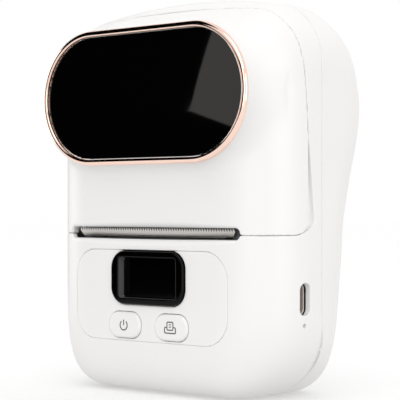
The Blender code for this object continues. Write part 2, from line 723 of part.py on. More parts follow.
def coil(name, x, look):
    """A compression spring behind the head: a round wire on a helix."""
    turns, points, radius = 3.5, 9, 1.7 * MM
    start, end = 5.4, 8.4
    curve = bpy.data.curves.new(name, "CURVE")
    curve.dimensions = "3D"
    curve.bevel_depth = 0.22 * MM
    curve.bevel_resolution = 0
    curve.use_fill_caps = True
    spline = curve.splines.new("POLY")
    count = int(turns * points)
    spline.points.add(count)
    side = Vector((1, 0, 0))
    for i, point in enumerate(spline.points):
        angle = 2 * math.pi * i / points
        depth = start + (end - start) * i / count
        offset = side * math.cos(angle) + HEAD_ALONG * math.sin(angle)
        point.co = (*(head_point(depth, 0, x) + offset * radius), 1)
    obj = bpy.data.objects.new(name, curve)
    curve.materials.append(look)
    parts.objects.link(obj)
    return obj


def print_mechanism():
    head_block("print_head", 28.5, (0.3, 1.3), (-4, 4), CERAMIC, head_point(0.3))
    head_block("head_heatsink", 29.0, (1.6, 4.6), (-4.5, 4.5), STEEL, head_point(1.6))
    for name, x in (("left", -18), ("right", 18)):
        coil(f"head_spring_{name}", x, STEEL)
    frame = head_block("print_chassis", 29.5, (9.0, 10.8), (-4, 4), INSIDE)
    cheek = [(-20.4, 46.8), (-20.4, 53.3), (-15.5, 53.3), (-15.5, 59.9), (-9.5, 59.9), (-4.0, 56),
             (-1.6, 48), (-2.2, 44), (-20.4, 44)]
    notch = arc((PLATEN.y, PLATEN.z), 3.3 * MM, -90, 90, 8)
    outline = [(a * MM, b * MM) for a, b in cheek[:3]]
    outline += notch + [(a * MM, b * MM) for a, b in cheek[4:]]
    outline[2] = (-15.5 * MM - 0.01 * MM, 53.3 * MM)
    pieces = []
    for side in (-1, 1):
        pieces.append(sheet(f"cheek_{side}", [outline], "X", *sorted((side * 29.2 * MM, side * 31.8 * MM))))
        low, high = sorted((side * 29.4, side * 39.5))
        pieces.append(box(f"flange_{side}", (low, -17.2, 47.1), (high, -13.0, 48.3)))
    pieces.append(box("front_beam", (-29.5, -20.4, 46.0), (29.5, -17.0, 48.2)))
    join(frame, *pieces)
    for side in (-1, 1):
        x = side * 37.0 * MM
        cut(frame, rod(f"flange_hole_{side}", (x, -15 * MM, 46 * MM), (x, -15 * MM, 50 * MM), 1.3 * MM, sides=10))
    for name, side in (("left", -1), ("right", 1)):
        screw(f"chassis_screw_{name}", (side * 37.0 * MM, -15 * MM, 48.6 * MM), (0, 0, -1), 5.0 * MM,
              1.8 * MM, 1.2 * MM, 0.7 * MM)
    box("label_sensor", (8, -7.0, 56.9), (12, -4.4, 59.2), BLACK)
    flex = [(-13.6, 46.9), (-13.3, 46.9), (-14.6, 43.0), (-15.2, 39.0), (-15.5, 39.0), (-14.9, 43.0)]
    sheet("head_flex", [[(a * MM, b * MM) for a, b in flex]], "X", -10 * MM, 10 * MM, FLEX)


def tear_blade():
    """The blade: a toothed strip with a flange at its foot that lies on the chassis's front beam."""
    half = 32.0 * MM
    pitch = 2 * half / BLADE_TEETH
    outline = [(-half + 1.0 * MM, BLADE_ROOT_Z), (half - 1.0 * MM, BLADE_ROOT_Z)]
    for i in range(BLADE_TEETH):
        right = half - i * pitch
        outline.append((right, BLADE_TIP_Z - 0.75 * MM))
        outline.append((right - pitch / 2, BLADE_TIP_Z))
    outline.append((-half, BLADE_TIP_Z - 0.75 * MM))
    obj = sheet("tear_blade", [outline], "Y", BLADE_Y - 0.3 * MM, BLADE_Y + 0.3 * MM, STEEL)
    join(obj, box("blade_flange", (-28, BLADE_Y / MM - 0.1, 48.6), (28, -17.6, 49.1)))
    return obj


# ---------------------------------------------------------------- roll bay


def bay():
    """A curved trough round the roll, with an end wall at each side and two slots for the guides."""
    centre, outer = (ROLL.y, ROLL.z), BAY_R + BAY_WALL
    trough = [(-3 * MM, ROLL.z - outer)] + arc(centre, outer, -90, 95, 18)
    trough += arc(centre, BAY_R, 95, -90, 18) + [(-3 * MM, ROLL.z - BAY_R)]
    obj = sheet("roll_bay", [trough], "X", -BAY_HALF - BAY_WALL, BAY_HALF + BAY_WALL, INSIDE)
    wall = [(-9 * MM, ROLL.z - outer)] + arc(centre, outer, -90, 95, 18) + [(-9 * MM, 104 * MM)]
    for side in (-1, 1):
        low, high = sorted((side * BAY_HALF, side * (BAY_HALF + BAY_WALL)))
        join(obj, sheet(f"bay_wall_{side}", [wall], "X", low, high))
    for name, low, high in GUIDE_SLOTS:
        cut(obj, box(f"slot_{name}", low, high))
    return obj


GUIDE_SLOTS = (("left", (-30.4, -2.1, 58), (-9.0, 4.0, 66)), ("right", (9.0, 8.5, 58), (30.4, 14.5, 70)))


def rack_outline():
    """The left guide's rack in the XY plane: a bar in front of the pinion, with its teeth towards it."""
    pitch_y = PINION_Y - RACK_MODULE * RACK_PINION_TEETH / 2
    pitch = math.pi * RACK_MODULE
    root, tip, back = pitch_y - 0.9 * MM, pitch_y + 0.62 * MM, pitch_y - 2.6 * MM
    inner, outer = 4.0 * MM, -(GUIDE_X + 1.7 * MM)
    found = [(outer, back), (outer, root)]
    for i in range(-8, 1):
        x = (i + 0.5) * pitch
        found += [(x - 0.26 * pitch, root), (x - 0.1 * pitch, tip), (x + 0.1 * pitch, tip),
                  (x + 0.26 * pitch, root)]
    return found + [(inner, root), (inner, back)]


def guides():
    """Two guides that hold the roll's ends, each with a rack below the bay, and the pinion between them."""
    low, high = RACK_Z - RACK_H / 2, RACK_Z + RACK_H / 2
    centre = Vector((0, PINION_Y, 0))
    half_turn = Matrix.Translation(centre) @ Matrix.Rotation(math.pi, 4, "Z") @ Matrix.Translation(-centre)
    for name, side, y0, y1 in (("left", -1, -1.2, 2.9), ("right", 1, 9.1, 13.2)):
        origin = Vector((side * GUIDE_X, 0, 0))
        obj = sheet(f"guide_{name}", [rack_outline()], "Z", low, high, INSIDE, origin,
                    half_turn if side > 0 else None)
        xs = sorted((side * GUIDE_X, side * (GUIDE_X + 2 * MM)))
        riser = box(f"riser_{name}", (xs[0] / MM + 0.1, y0, (low + 0.3 * MM) / MM),
                    (xs[1] / MM - 0.1, y1, 80))
        disc = sheet(f"guide_disc_{name}", [circle((ROLL.y, ROLL.z), 12 * MM, 24)], "X", *xs)
        join(obj, riser, disc)
        x0, x1 = sorted((side * (GUIDE_X - GAP), side * (GUIDE_X - 5 * MM)))
        rod(f"hub_{name}", (x0, ROLL.y, ROLL.z), (x1, ROLL.y, ROLL.z), 6.2 * MM, ACETAL, 20,
            (side * GUIDE_X, ROLL.y, ROLL.z))
    phase = -math.pi / 2
    outline = gear_outline(RACK_PINION_TEETH, RACK_MODULE, (0, PINION_Y), phase)
    sheet("guide_pinion", [outline, circle((0, PINION_Y), 1.5 * MM, 12)], "Z", low + 0.1 * MM, high - 0.1 * MM,
          ACETAL, (0, PINION_Y, RACK_Z))
    track = box("guide_track", (-30.5, -2.2, 54.9), (30.5, 14.2, 56.3), INSIDE)
    join(track, rod("pinion_post", (0, PINION_Y, 55 * MM), (0, PINION_Y, 58.8 * MM), 1.2 * MM, sides=12))
    return track


# ---------------------------------------------------------------- electronics


def electronics():
    board = box("main_board", (-32, -17.9, 11), (32, -16.3, 43), BOARD)
    for side in (-1, 1):
        x, z = side * 29.0 * MM, 14.5 * MM
        cut(board, rod(f"board_hole_{side}", (x, -20 * MM, z), (x, -10 * MM, z), 1.3 * MM, sides=10))
        screw(f"board_screw_{'left' if side < 0 else 'right'}", (x, -16.0 * MM, z), (0, -1, 0), 5 * MM,
              1.9 * MM, 1.3 * MM, 1.0 * MM)
    box("display_module", (-13.2, FRONT_Y / MM + 2.9, 29), (13.2, FRONT_Y / MM + 4.9, 43), BLACK)
    socket = sheet("usb_socket", [round_rect((SOCKET_Y, SOCKET_Z), 3.26 * MM, 8.94 * MM, 1.6 * MM)], "X",
                   38.1 * MM, 45.3 * MM, STEEL)
    mouth = sheet("socket_mouth", [round_rect((SOCKET_Y, SOCKET_Z), 2.56 * MM, 8.3 * MM, 1.25 * MM)], "X",
                  39.1 * MM, 50 * MM)
    cut(socket, mouth)
    join(socket, box("socket_tongue", (38.6, SOCKET_Y / MM - 0.35, SOCKET_Z / MM - 3.3),
                     (44.7, SOCKET_Y / MM + 0.35, SOCKET_Z / MM + 3.3)))
    box("usb_board", (38.8, SOCKET_Y / MM + 1.95, 20), (42.4, SOCKET_Y / MM + 3.0, 37), BOARD)
    box("reset_switch", (38.6, SOCKET_Y / MM - 2.1, 21.0), (42.1, SOCKET_Y / MM + 1.6, 24.6), STEEL)
    cell = Vector((0, 6.6, 13.6)) * MM
    rod("battery_cell", (-30.5 * MM, cell.y, cell.z), (30.5 * MM, cell.y, cell.z), 9.2 * MM, CELL, 24, cell)
    cradle = box("battery_cradle", (-20, -0.2, 2.8), (20, 10.8, 8.0), INSIDE)
    cut(cradle, rod("cradle_cutter", (-30 * MM, cell.y, cell.z), (30 * MM, cell.y, cell.z), 9.5 * MM, sides=24))


pod_wall, pod_bore = window_pod()
exit_hole = exit_cutter()
lid_shell(pod_wall, pod_bore, exit_hole)
front_housing(exit_hole)
rear_housing()
control_panel()
window_pieces()
lens_and_buttons()
lid_frame()
hinge_parts()
platen_parts()
gear_train()
drive_frame()
print_mechanism()
tear_blade()
bay()
guides()
electronics()
for screw_name, x, z, on_front in SCREWS:
    screw(f"housing_screw_{screw_name}", (x, 4.6 * MM, z), (0, -1, 0), 8.0 * MM if on_front else 6.5 * MM)
for piece in [*parts.objects, *cutters.objects]:
    piece.location.y += STAND_Y
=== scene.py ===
"""Looks of the portable thermal label printer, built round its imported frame.

Lengths in the form functions are millimetres; Blender's objects are in metres.
The front faces -Y, the USB socket faces +X and the roll's axis lies along X.
The moulded pieces are written as fields, negative inside the plastic, and meshed on an uneven grid.
"""

import json  # noqa: E402
import math  # noqa: E402

import bmesh  # noqa: E402
import bpy  # noqa: E402
import numpy as np  # noqa: E402
from mathutils import Matrix, Quaternion, Vector  # noqa: E402


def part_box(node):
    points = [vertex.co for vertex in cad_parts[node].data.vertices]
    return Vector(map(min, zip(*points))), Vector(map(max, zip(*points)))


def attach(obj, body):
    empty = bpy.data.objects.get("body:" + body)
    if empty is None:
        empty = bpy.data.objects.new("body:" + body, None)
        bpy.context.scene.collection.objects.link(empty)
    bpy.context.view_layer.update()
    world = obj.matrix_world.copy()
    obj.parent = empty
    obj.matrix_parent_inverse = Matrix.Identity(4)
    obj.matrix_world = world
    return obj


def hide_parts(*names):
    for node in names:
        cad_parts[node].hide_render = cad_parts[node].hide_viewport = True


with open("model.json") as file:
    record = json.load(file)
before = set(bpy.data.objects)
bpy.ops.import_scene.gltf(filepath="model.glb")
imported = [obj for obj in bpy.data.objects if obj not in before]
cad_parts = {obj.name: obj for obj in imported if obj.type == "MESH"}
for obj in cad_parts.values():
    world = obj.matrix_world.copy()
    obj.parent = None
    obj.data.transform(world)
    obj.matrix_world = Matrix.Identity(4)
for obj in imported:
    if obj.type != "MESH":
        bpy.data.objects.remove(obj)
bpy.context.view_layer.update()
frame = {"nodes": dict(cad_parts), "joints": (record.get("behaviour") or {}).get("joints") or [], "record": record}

MM = 0.001
TINY = 1e-9
COARSE = 1.0


def span(node):
    """A CAD node's lowest and highest corners, in millimetres."""
    low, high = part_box(node)
    return np.array(low) / MM, np.array(high) / MM


def middle(node):
    low, high = span(node)
    return (low + high) / 2


# ---------------------------------------------------------------- sizes

FRONT_LOW, FRONT_HIGH = span("front_housing")
REAR_LOW, REAR_HIGH = span("rear_housing")
SEAM_Y = (FRONT_HIGH[1] + REAR_LOW[1]) / 2

# Body: its outline seen from the side, then the radii between its sides and that outline
HALF_W = REAR_HIGH[0]
HEIGHT = REAR_HIGH[2] + 0.15
FRONT_Y, CREST_Y = FRONT_LOW[1], REAR_HIGH[1]
FOOT_Y, WAIST_Y = CREST_Y - 14.9, CREST_Y - 9.5
WAIST_Z, CREST_Z = 0.36 * HEIGHT, 0.736 * HEIGHT
NAPE_DEPTH = 27.7
BROW_R, TOE_BLEND, HEEL_BLEND = 23.5, 4.9, 2.8
TOE_END, SOLE_REACH = SEAM_Y + 0.6, 0.3
FRONT_R, REAR_R, TOP_R, FOOT_R = 21.2, 19.0, 15.3, 22.9
# Where each radius starts to pass into the next, and over what length
REAR_FROM, REAR_OVER = SEAM_Y - 13.4, 24.0
TOP_FROM, TOP_OVER = 96.0, 20.0
FOOT_FROM, FOOT_OVER = 24.0, 22.0
# How the roof falls towards the sides, in millimetres per square millimetre
CROWN, CROWN_FROM, CROWN_OVER = 0.0025, 70.0, 45.0
WALL, INNER_EDGE = 2.0, 0.2

# Partings
SEAM_GAP, SEAM_EDGE = 0.05, 0.2
LID_FOOT = span("lid_shell")[0][2] - 0.2
LID_REAR = SEAM_Y - 6.3
LID_CORNER = 5.0
LID_LEAN, LEAN_FROM, LEAN_OVER, LEAN_POWER = 3.5, 68.0, 41.0, 2.2
# The lid's seam is widest and softest at its foot
LID_GAP, LID_EDGE, TOP_LID_EDGE = 0.025, 0.22, 0.05
CLOSE_FROM, CLOSE_OVER = 66.0, 20.0

# Finger scoop: where it is deepest, and how it fades out upwards, downwards and forwards
SCOOP_Z, SCOOP_REACH, SCOOP_FALL = LID_FOOT + 4.0, 24.0, 4.0
SCOOP_FRONT, SCOOP_RUN = LID_REAR - 3.1, 2.0
SCOOP_W, SCOOP_DEPTH, SCOOP_CORNER = 2.7, 1.6, 0.4
SCOOP_EDGE, SCOOP_SOFTENING = 0.05, 0.45

# Hinge: the barrel of the lid's seam, the lugs, the pockets beside them and the pin's hole
HINGE = {joint["name"]: joint for joint in frame["joints"]}["lid_hinge"]
HINGE_Y, HINGE_Z = (v / MM for v in HINGE["pos_m"][1:])
HINGE_R = 3.9
LUG_X, LUG_HALF, LUG_COVER = 19.75, 1.05, 0.6
ARM_FORWARD, ARM_HALF_Y, ARM_HALF_Z, ARM_CORNER = 2.0, 3.6, 2.0, 1.9
POCKET_X, POCKET_HALF, POCKET_R = 16.75, 1.75, 2.0
PIN_HOLE_R, PIN_HOLE_END = 0.95, 22.0

# Window
BEZEL_LOW, BEZEL_HIGH = span("window_bezel")
WINDOW_Z = (BEZEL_LOW[2] + BEZEL_HIGH[2]) / 2
BEZEL_R = (BEZEL_HIGH[2] - BEZEL_LOW[2]) / 2
REACH = BEZEL_HIGH[0] - BEZEL_R
PANEL_LOW, PANEL_HIGH = span("window_panel")
PANEL_R = (PANEL_HIGH[2] - PANEL_LOW[2]) / 2
PANEL_DOME, PANEL_LIFT, PANEL_EDGE, PANEL_BACK_EDGE = 0.5, 0.15, 0.15, 0.1
RING_BACK = BEZEL_LOW[1] + 1.45
POD_R, BORE_R = BEZEL_R - 0.45, BEZEL_R - 3.7
POD_FRONT, POD_BACK = RING_BACK - 0.1, FRONT_Y + 6.9
POD_FILLET, POD_EDGE, BORE_EDGE = 5.0, 0.9, 0.3

# Paper exit
BLADE_LOW, BLADE_HIGH = span("tear_blade")
EXIT_Z = (BLADE_LOW[2] + BLADE_HIGH[2]) / 2 - 0.2
EXIT_HALF_W, EXIT_HALF_H, EXIT_CORNER = BLADE_HIGH[0] + 2.3, 1.75, 1.3
EXIT_LIP, EXIT_END_LIP = 2.4, 0.8
LIP_HALF_W, LIP_HALF_H, LIP_CORNER = EXIT_HALF_W + 3, EXIT_HALF_H + 4, 2.0
LIP_BACK, EXIT_BACK = FRONT_Y + 5.3, FRONT_Y + 7.3

# Control panel, its openings, the display's cover and the buttons
FACE_LOW, FACE_HIGH = span("control_panel")
FACE_R, FACE_DEPTH, FACE_GAP, FACE_RIM = 8.5, 1.0, 0.008, 0.1
FACE_CLEAR, FACE_HOLE_EDGE = 0.14, 0.45
WALL_CLEAR, WALL_HOLE_END = 0.3, FRONT_Y + 5.6
LENS_LOW, LENS_HIGH = span("display_lens")
LENS_R, LENS_EDGE = 5.2, 0.5
SCREEN_HALF_W, SCREEN_HALF_H, SCREEN_CORNER, SCREEN_EDGE = 11.9, 6.3, 0.9, 0.22
SCREEN_Y = LENS_HIGH[1] - 0.6
KEYS = ("power", "print")
CAP_R, CAP_LIFT, CAP_CROWN, CAP_EDGE, CAP_DEPTH = 3.95, 0.15, 0.15, 0.75, 2.9
STEM_R, STEM_FILLET = 1.2, 0.4

# Right side: the socket, its cut-out and the reset hole
SOCKET_CLEAR, SOCKET_EDGE, SIDE_WALL_X = 0.32, 0.3, 40.0
SOCKET_WALL, SOCKET_RIM, SOCKET_FLOOR = 0.35, 0.12, 1.0
TONGUE_HALF_Y, TONGUE_HALF_Z, TONGUE_CORNER = 0.35, 3.3, 0.15
TONGUE_EDGE, TONGUE_ROOT, TONGUE_BACK = 0.1, 0.5, 0.6
RESET = middle("reset_switch")
RESET_Y, RESET_R = RESET[1] + 0.15, 0.55

# Screws: posts and bores, the webs of the upper bosses, and the ribs that carry the chassis
SCREW_NODES = [f"housing_screw_{i}" for i in (1, 2, 3, 4)]
POST_R, REAR_POST_R, THREAD_R, HEAD_R = 3.0, 3.4, 1.5, 2.6
TIP_ROOM, POST_GAP, WEB_HALF = 1.5, 0.4, 0.9
REAR_POST_Y, HEAD_SEAT_Y, HEAD_BORE_EDGE = SEAM_Y + 1.6, SEAM_Y + 3.6, 0.3
OUTSIDE, NOWHERE = 60.0, 99.0
RIB_X, RIB_Y, RIB_Z = 37.75, FRONT_Y + 8.1, 45.9
RIB_HALF_X, RIB_HALF_Y, RIB_HALF_Z, RIB_CORNER = 4.25, 5.5, 0.9, 0.2


# ---------------------------------------------------------------- fields


def smooth(t):
    t = np.clip(t, 0, 1)
    return t * t * (3 - 2 * t)


def both(a, b, r):
    """What lies in both forms, with the edge where they meet rounded by r."""
    return np.minimum(-r, np.maximum(a, b)) + np.hypot(np.maximum(r + a, 0), np.maximum(r + b, 0))


def either(a, b, r):
    """What lies in either form, with a fillet of r where they meet."""
    return -both(-a, -b, r)


def without(a, b, r):
    """The first form less the second, with the cut's edge rounded by r."""
    return both(a, -b, r)


def blended(a, b, k):
    """What lies in both forms, with a soft edge of a size set by k."""
    top = np.maximum(a, b)
    return top + k * np.log(np.exp((a - top) / k) + np.exp((b - top) / k))


def round_rect(a, b, half_a, half_b, r):
    """Distance to a rectangle with round corners, in the plane of a and b."""
    u, v = np.abs(a) - half_a + r, np.abs(b) - half_b + r
    return np.minimum(np.maximum(u, v), 0) + np.hypot(np.maximum(u, 0), np.maximum(v, 0)) - r


def stadium(x, z, r):
    """Distance to the window's outline, drawn at a radius r round its middle line."""
    return np.hypot(np.maximum(np.abs(x) - REACH, 0), z - WINDOW_Z) - r


def across(node, a, b, grow=0.0, r=None):
    """Distance to a node's outline in the plane of its axes a and b, as a function of a point."""
    low, high = span(node)
    centre, half = (low + high) / 2, (high - low) / 2
    r = min(half[a], half[b]) if r is None else r

    def field(*point):
        return round_rect(point[a] - centre[a], point[b] - centre[b], half[a] + grow, half[b] + grow, r + grow)

    return field


lens_outline = across("display_lens", 0, 2, r=LENS_R)
face_outline = across("control_panel", 0, 2, r=FACE_R)
cap_outlines = {key: across(f"{key}_button", 0, 2, r=CAP_R) for key in KEYS}
socket_outline = across("usb_socket", 1, 2, grow=SOCKET_CLEAR)


def profile(y, z):
    """Distance to the body's outline as seen from the side."""
    t = np.clip((z - WAIST_Z) / (CREST_Z - WAIST_Z), 0, 1)
    rear = FOOT_Y + (WAIST_Y - FOOT_Y) * np.minimum(z / WAIST_Z, 1) + (CREST_Y - WAIST_Y) * smooth(t)
    lean = np.where(z < WAIST_Z, (WAIST_Y - FOOT_Y) / WAIST_Z, 0)
    lean = lean + (CREST_Y - WAIST_Y) * 6 * t * (1 - t) / (CREST_Z - WAIST_Z)  # the slope of smooth is 6t(1 - t)
    low = (y - rear) / np.sqrt(1 + lean * lean)
    rise = HEIGHT - CREST_Z
    u, v = np.maximum(y - (CREST_Y - NAPE_DEPTH), 0), np.maximum(z - CREST_Z, 0)
    k0 = np.hypot(u / NAPE_DEPTH, v / rise)
    k1 = np.hypot(u / NAPE_DEPTH**2, v / rise**2) + TINY
    back = np.where(z > CREST_Z, k0 * (k0 - 1) / k1, low)
    front = both(FRONT_Y - y, z - HEIGHT, BROW_R)
    closed = blended(np.maximum(front, back), -z - SOLE_REACH, np.where(y < TOE_END, TOE_BLEND, HEEL_BLEND))
    return np.maximum(closed, -z)


def body(x, y, z):
    """The closed body form, on which every moulding of the case lies."""
    z = z + CROWN * x * x * smooth((z - CROWN_FROM) / CROWN_OVER)
    top, foot = smooth((z - TOP_FROM) / TOP_OVER), smooth((FOOT_FROM - z) / FOOT_OVER)
    r = FRONT_R + (REAR_R - FRONT_R) * smooth((y - REAR_FROM) / REAR_OVER)
    r = r * (1 - top) * (1 - foot) + TOP_R * top + FOOT_R * foot
    return both(np.abs(x) - HALF_W, profile(y, z), r)


def lid_side(y, z):
    """The lid's region as seen from the side. Its rear edge leans forward and ends in a barrel round the hinge."""
    rear = LID_REAR - LID_LEAN * np.clip((z - LEAN_FROM) / LEAN_OVER, 0, None) ** LEAN_POWER
    main = both(LID_FOOT - z, y - rear, LID_CORNER)
    main = np.maximum(main, np.minimum(z - HINGE_Z, y - HINGE_Y + 1))
    return np.minimum(main, np.hypot(y - HINGE_Y, z - HINGE_Z) - HINGE_R)


def closing(z):
    """How far the lid's seam has closed up: 0 at its foot, 1 towards the top, where the lid fits closest."""
    return smooth((z - CLOSE_FROM) / CLOSE_OVER)


def lid_edge(z):
    """The radius of the edges along the lid's seam."""
    return LID_EDGE + (TOP_LID_EDGE - LID_EDGE) * closing(z)


def lid_gap(z):
    """Half the gap of the lid's seam."""
    return LID_GAP * (1 - closing(z))


def scoop(y, z):
    """The finger scoop's share of its full width, in the housing beside the lid's edge."""
    above = 1 - np.clip((z - SCOOP_Z) / SCOOP_REACH, 0, 1)
    below = 1 - smooth((SCOOP_Z - z) / SCOOP_FALL)
    return above * below * smooth((y - SCOOP_FRONT) / SCOOP_RUN)


def paper_exit(x, y, z):
    return np.maximum(round_rect(x, z - EXIT_Z, EXIT_HALF_W, EXIT_HALF_H, EXIT_CORNER), y - EXIT_BACK)


def exit_lip(x):
    """The radius of the paper exit's lips, which thin out towards its ends."""
    return EXIT_END_LIP + (EXIT_LIP - EXIT_END_LIP) * np.clip(1 - (x / EXIT_HALF_W) ** 2, 0, 1)


def face_holes(x, y, z, clear):
    """The openings for the display and the buttons, wider than those pieces by clear."""
    holes = [outline(x, y, z) for outline in (lens_outline, *cap_outlines.values())]
    return np.minimum.reduce(holes) - clear


def lid_shell(x, y, z):
    outer = body(x, y, z)
    skin = both(outer, lid_side(y, z) + lid_gap(z), lid_edge(z))
    pod = np.maximum(both(stadium(x, z, POD_R), POD_FRONT - y, POD_EDGE), y - POD_BACK)
    upper_lip = np.maximum(round_rect(x, z - EXIT_Z, LIP_HALF_W, LIP_HALF_H, LIP_CORNER), y - LIP_BACK)
    cavity = np.maximum(outer + WALL, -np.minimum(pod, upper_lip))
    solid = without(either(skin, pod, POD_FILLET), stadium(x, z, BORE_R), BORE_EDGE)
    solid = without(solid, cavity, INNER_EDGE)
    return without(solid, paper_exit(x, y, z), exit_lip(x))


def lug_pair(x, y, z):
    """The lid's two hinge lugs, which run from the pin into the lid's wall."""
    arm = round_rect(y - HINGE_Y + ARM_FORWARD, z - HINGE_Z, ARM_HALF_Y, ARM_HALF_Z, ARM_CORNER)
    arm = np.maximum(arm, np.abs(np.abs(x) - LUG_X) - LUG_HALF)
    return np.maximum(arm, body(x, y, z) + LUG_COVER)


def lid_with_lugs(x, y, z):
    eye = np.hypot(y - HINGE_Y, z - HINGE_Z)
    solid = np.minimum(lid_shell(x, y, z), lug_pair(x, y, z))
    pocket = np.maximum(eye - POCKET_R, np.abs(np.abs(x) - POCKET_X) - POCKET_HALF)
    hole = np.maximum(eye - PIN_HOLE_R, np.abs(x) - PIN_HOLE_END)
    return np.maximum(solid, -np.minimum(pocket, hole))


def tip_y(node):
    """Where the room in front of a housing screw's tip starts."""
    return span(node)[0][1] - TIP_ROOM


def screw_posts(x, y, z, r, front):
    """Rods round the four housing screws. In front, the lower two stand on the front wall."""
    found = np.full(np.broadcast(x, y, z).shape, NOWHERE)
    for node in SCREW_NODES:
        centre = middle(node)
        start, end = SEAM_Y, OUTSIDE
        if front:
            start, end = FRONT_Y if centre[2] < EXIT_Z else tip_y(node), SEAM_Y - POST_GAP
        rod = np.maximum(np.hypot(x - centre[0], z - centre[2]) - r, np.maximum(start - y, y - end))
        found = np.minimum(found, rod)
    return found


def boss_webs(x, y, z):
    """The webs that tie the two upper screws' bosses to the side walls."""
    node = SCREW_NODES[3]
    centre = middle(node)
    ends = np.maximum(tip_y(node) - y, y - (SEAM_Y - POST_GAP))
    return np.maximum(np.maximum(centre[0] - np.abs(x), np.abs(z - centre[2]) - WEB_HALF), ends)


def front_housing(x, y, z):
    outer, side, share = body(x, y, z), lid_side(y, z), scoop(y, z)
    solid = both(outer, y - (SEAM_Y - SEAM_GAP), SEAM_EDGE)
    solid = without(solid, side - lid_gap(z), lid_edge(z))
    sunk = both(side - SCOOP_W * share, -SCOOP_DEPTH - outer, SCOOP_CORNER)
    solid = without(solid, sunk, SCOOP_EDGE + SCOOP_SOFTENING * share)
    solid = without(solid, paper_exit(x, y, z), exit_lip(x))
    solid = without(solid, outer + WALL, INNER_EDGE)
    posts = np.minimum(screw_posts(x, y, z, POST_R, True), boss_webs(x, y, z))
    ribs = round_rect(np.abs(x) - RIB_X, z - RIB_Z, RIB_HALF_X, RIB_HALF_Z, RIB_CORNER)
    ribs = np.maximum(ribs, np.abs(y - RIB_Y) - RIB_HALF_Y)
    solid = np.minimum(solid, np.maximum(np.minimum(posts, ribs), outer + WALL / 2))
    threads = np.maximum(screw_posts(x, y, z, THREAD_R, True), tip_y(SCREW_NODES[0]) - y)
    solid = np.maximum(solid, -threads)
    recess = np.maximum(face_outline(x, y, z) - FACE_GAP, y - (FRONT_Y + FACE_DEPTH + FACE_GAP))
    solid = without(solid, recess, FACE_RIM)
    solid = np.maximum(solid, -np.maximum(face_holes(x, y, z, WALL_CLEAR), y - WALL_HOLE_END))
    solid = without(solid, np.maximum(socket_outline(x, y, z), SIDE_WALL_X - x), SOCKET_EDGE)
    reset = np.hypot(y - RESET_Y, z - RESET[2]) - RESET_R
    return np.maximum(solid, -np.maximum(reset, SIDE_WALL_X - x))


def rear_housing(x, y, z):
    outer = body(x, y, z)
    solid = both(outer, (SEAM_Y + SEAM_GAP) - y, SEAM_EDGE)
    solid = without(solid, outer + WALL, INNER_EDGE)
    posts = np.maximum(screw_posts(x, y, z, REAR_POST_R, False), np.maximum(outer + WALL / 2, REAR_POST_Y - y))
    solid = np.maximum(np.minimum(solid, posts), -screw_posts(x, y, z, THREAD_R, False))
    bores = np.maximum(screw_posts(x, y, z, HEAD_R, False), HEAD_SEAT_Y - y)
    return without(solid, bores, HEAD_BORE_EDGE)


def control_panel(x, y, z):
    solid = both(body(x, y, z), face_outline(x, y, z) + FACE_GAP, FACE_RIM)
    solid = np.maximum(solid, y - (FRONT_Y + FACE_DEPTH))
    return without(solid, face_holes(x, y, z, FACE_CLEAR), FACE_HOLE_EDGE)


def display_lens(x, y, z):
    """The display's black cover: a flat border round a sunk opening over the screen."""
    centre = (LENS_LOW + LENS_HIGH) / 2
    solid = both(lens_outline(x, y, z), LENS_LOW[1] - y, LENS_EDGE)
    solid = np.maximum(solid, y - LENS_HIGH[1])
    screen = round_rect(x - centre[0], z - centre[2], SCREEN_HALF_W, SCREEN_HALF_H, SCREEN_CORNER)
    return without(solid, np.maximum(screen, y - SCREEN_Y), SCREEN_EDGE)


def button(key):
    """The field of one button: a slightly domed cap on a round stem."""
    low, high = span(f"{key}_button")
    centre, half = (low + high) / 2, (high - low) / 2
    cap_back = low[1] + CAP_DEPTH

    def field(x, y, z):
        crown = CAP_CROWN * (((x - centre[0]) / half[0]) ** 2 + ((z - centre[2]) / half[2]) ** 2)
        cap = both(cap_outlines[key](x, y, z), low[1] - CAP_LIFT + crown - y, CAP_EDGE)
        cap = np.maximum(cap, y - cap_back)
        stem = np.hypot(x - centre[0], z - centre[2]) - STEM_R
        stem = np.maximum(stem, np.abs(y - cap_back) - (high[1] - cap_back))
        return either(cap, stem, STEM_FILLET)

    return field


def window_panel(x, y, z):
    outline = stadium(x, z, PANEL_R)
    dome = PANEL_DOME * np.clip(1 + outline / PANEL_R, 0, 1) ** 2
    front = both(outline, PANEL_LOW[1] - PANEL_LIFT + dome - y, PANEL_EDGE)
    return both(front, y - PANEL_HIGH[1], PANEL_BACK_EDGE)


def usb_socket(x, y, z):
    """An oval metal shell, open at its mouth, with a flat tongue inside."""
    low, high = span("usb_socket")
    centre, half = (low + high) / 2, (high - low) / 2
    tube = round_rect(y - centre[1], z - centre[2], half[1], half[2], half[1])
    shell = np.maximum(both(tube, x - high[0], SOCKET_RIM), low[0] - x)
    shell = without(shell, np.maximum(tube + SOCKET_WALL, low[0] + SOCKET_FLOOR - x), SOCKET_RIM)
    tongue = round_rect(y - centre[1], z - centre[2], TONGUE_HALF_Y, TONGUE_HALF_Z, TONGUE_CORNER)
    tongue = both(tongue, x - (high[0] - TONGUE_BACK), TONGUE_EDGE)
    return np.minimum(shell, np.maximum(tongue, low[0] + TONGUE_ROOT - x))


# ---------------------------------------------------------------- meshing of fields

GROWTH = 0.25  # how fast the steps grow away from a fine zone


def grid_lines(low, high, step, *zones):
    """Grid positions from low to high. Each zone (from, to, fine step) is finer, and steps grow away from it."""
    lines = [low]
    while lines[-1] < high:
        here, size = lines[-1], step
        for start, end, fine in zones:
            size = min(size, fine + GROWTH * max(start - here, here - end, 0))
        lines.append(here + size * COARSE)
    return np.array(lines)


def mirrored(start, end, fine):
    """A pair of fine zones, one on each side of the middle."""
    return (-end, -start, fine), (start, end, fine)


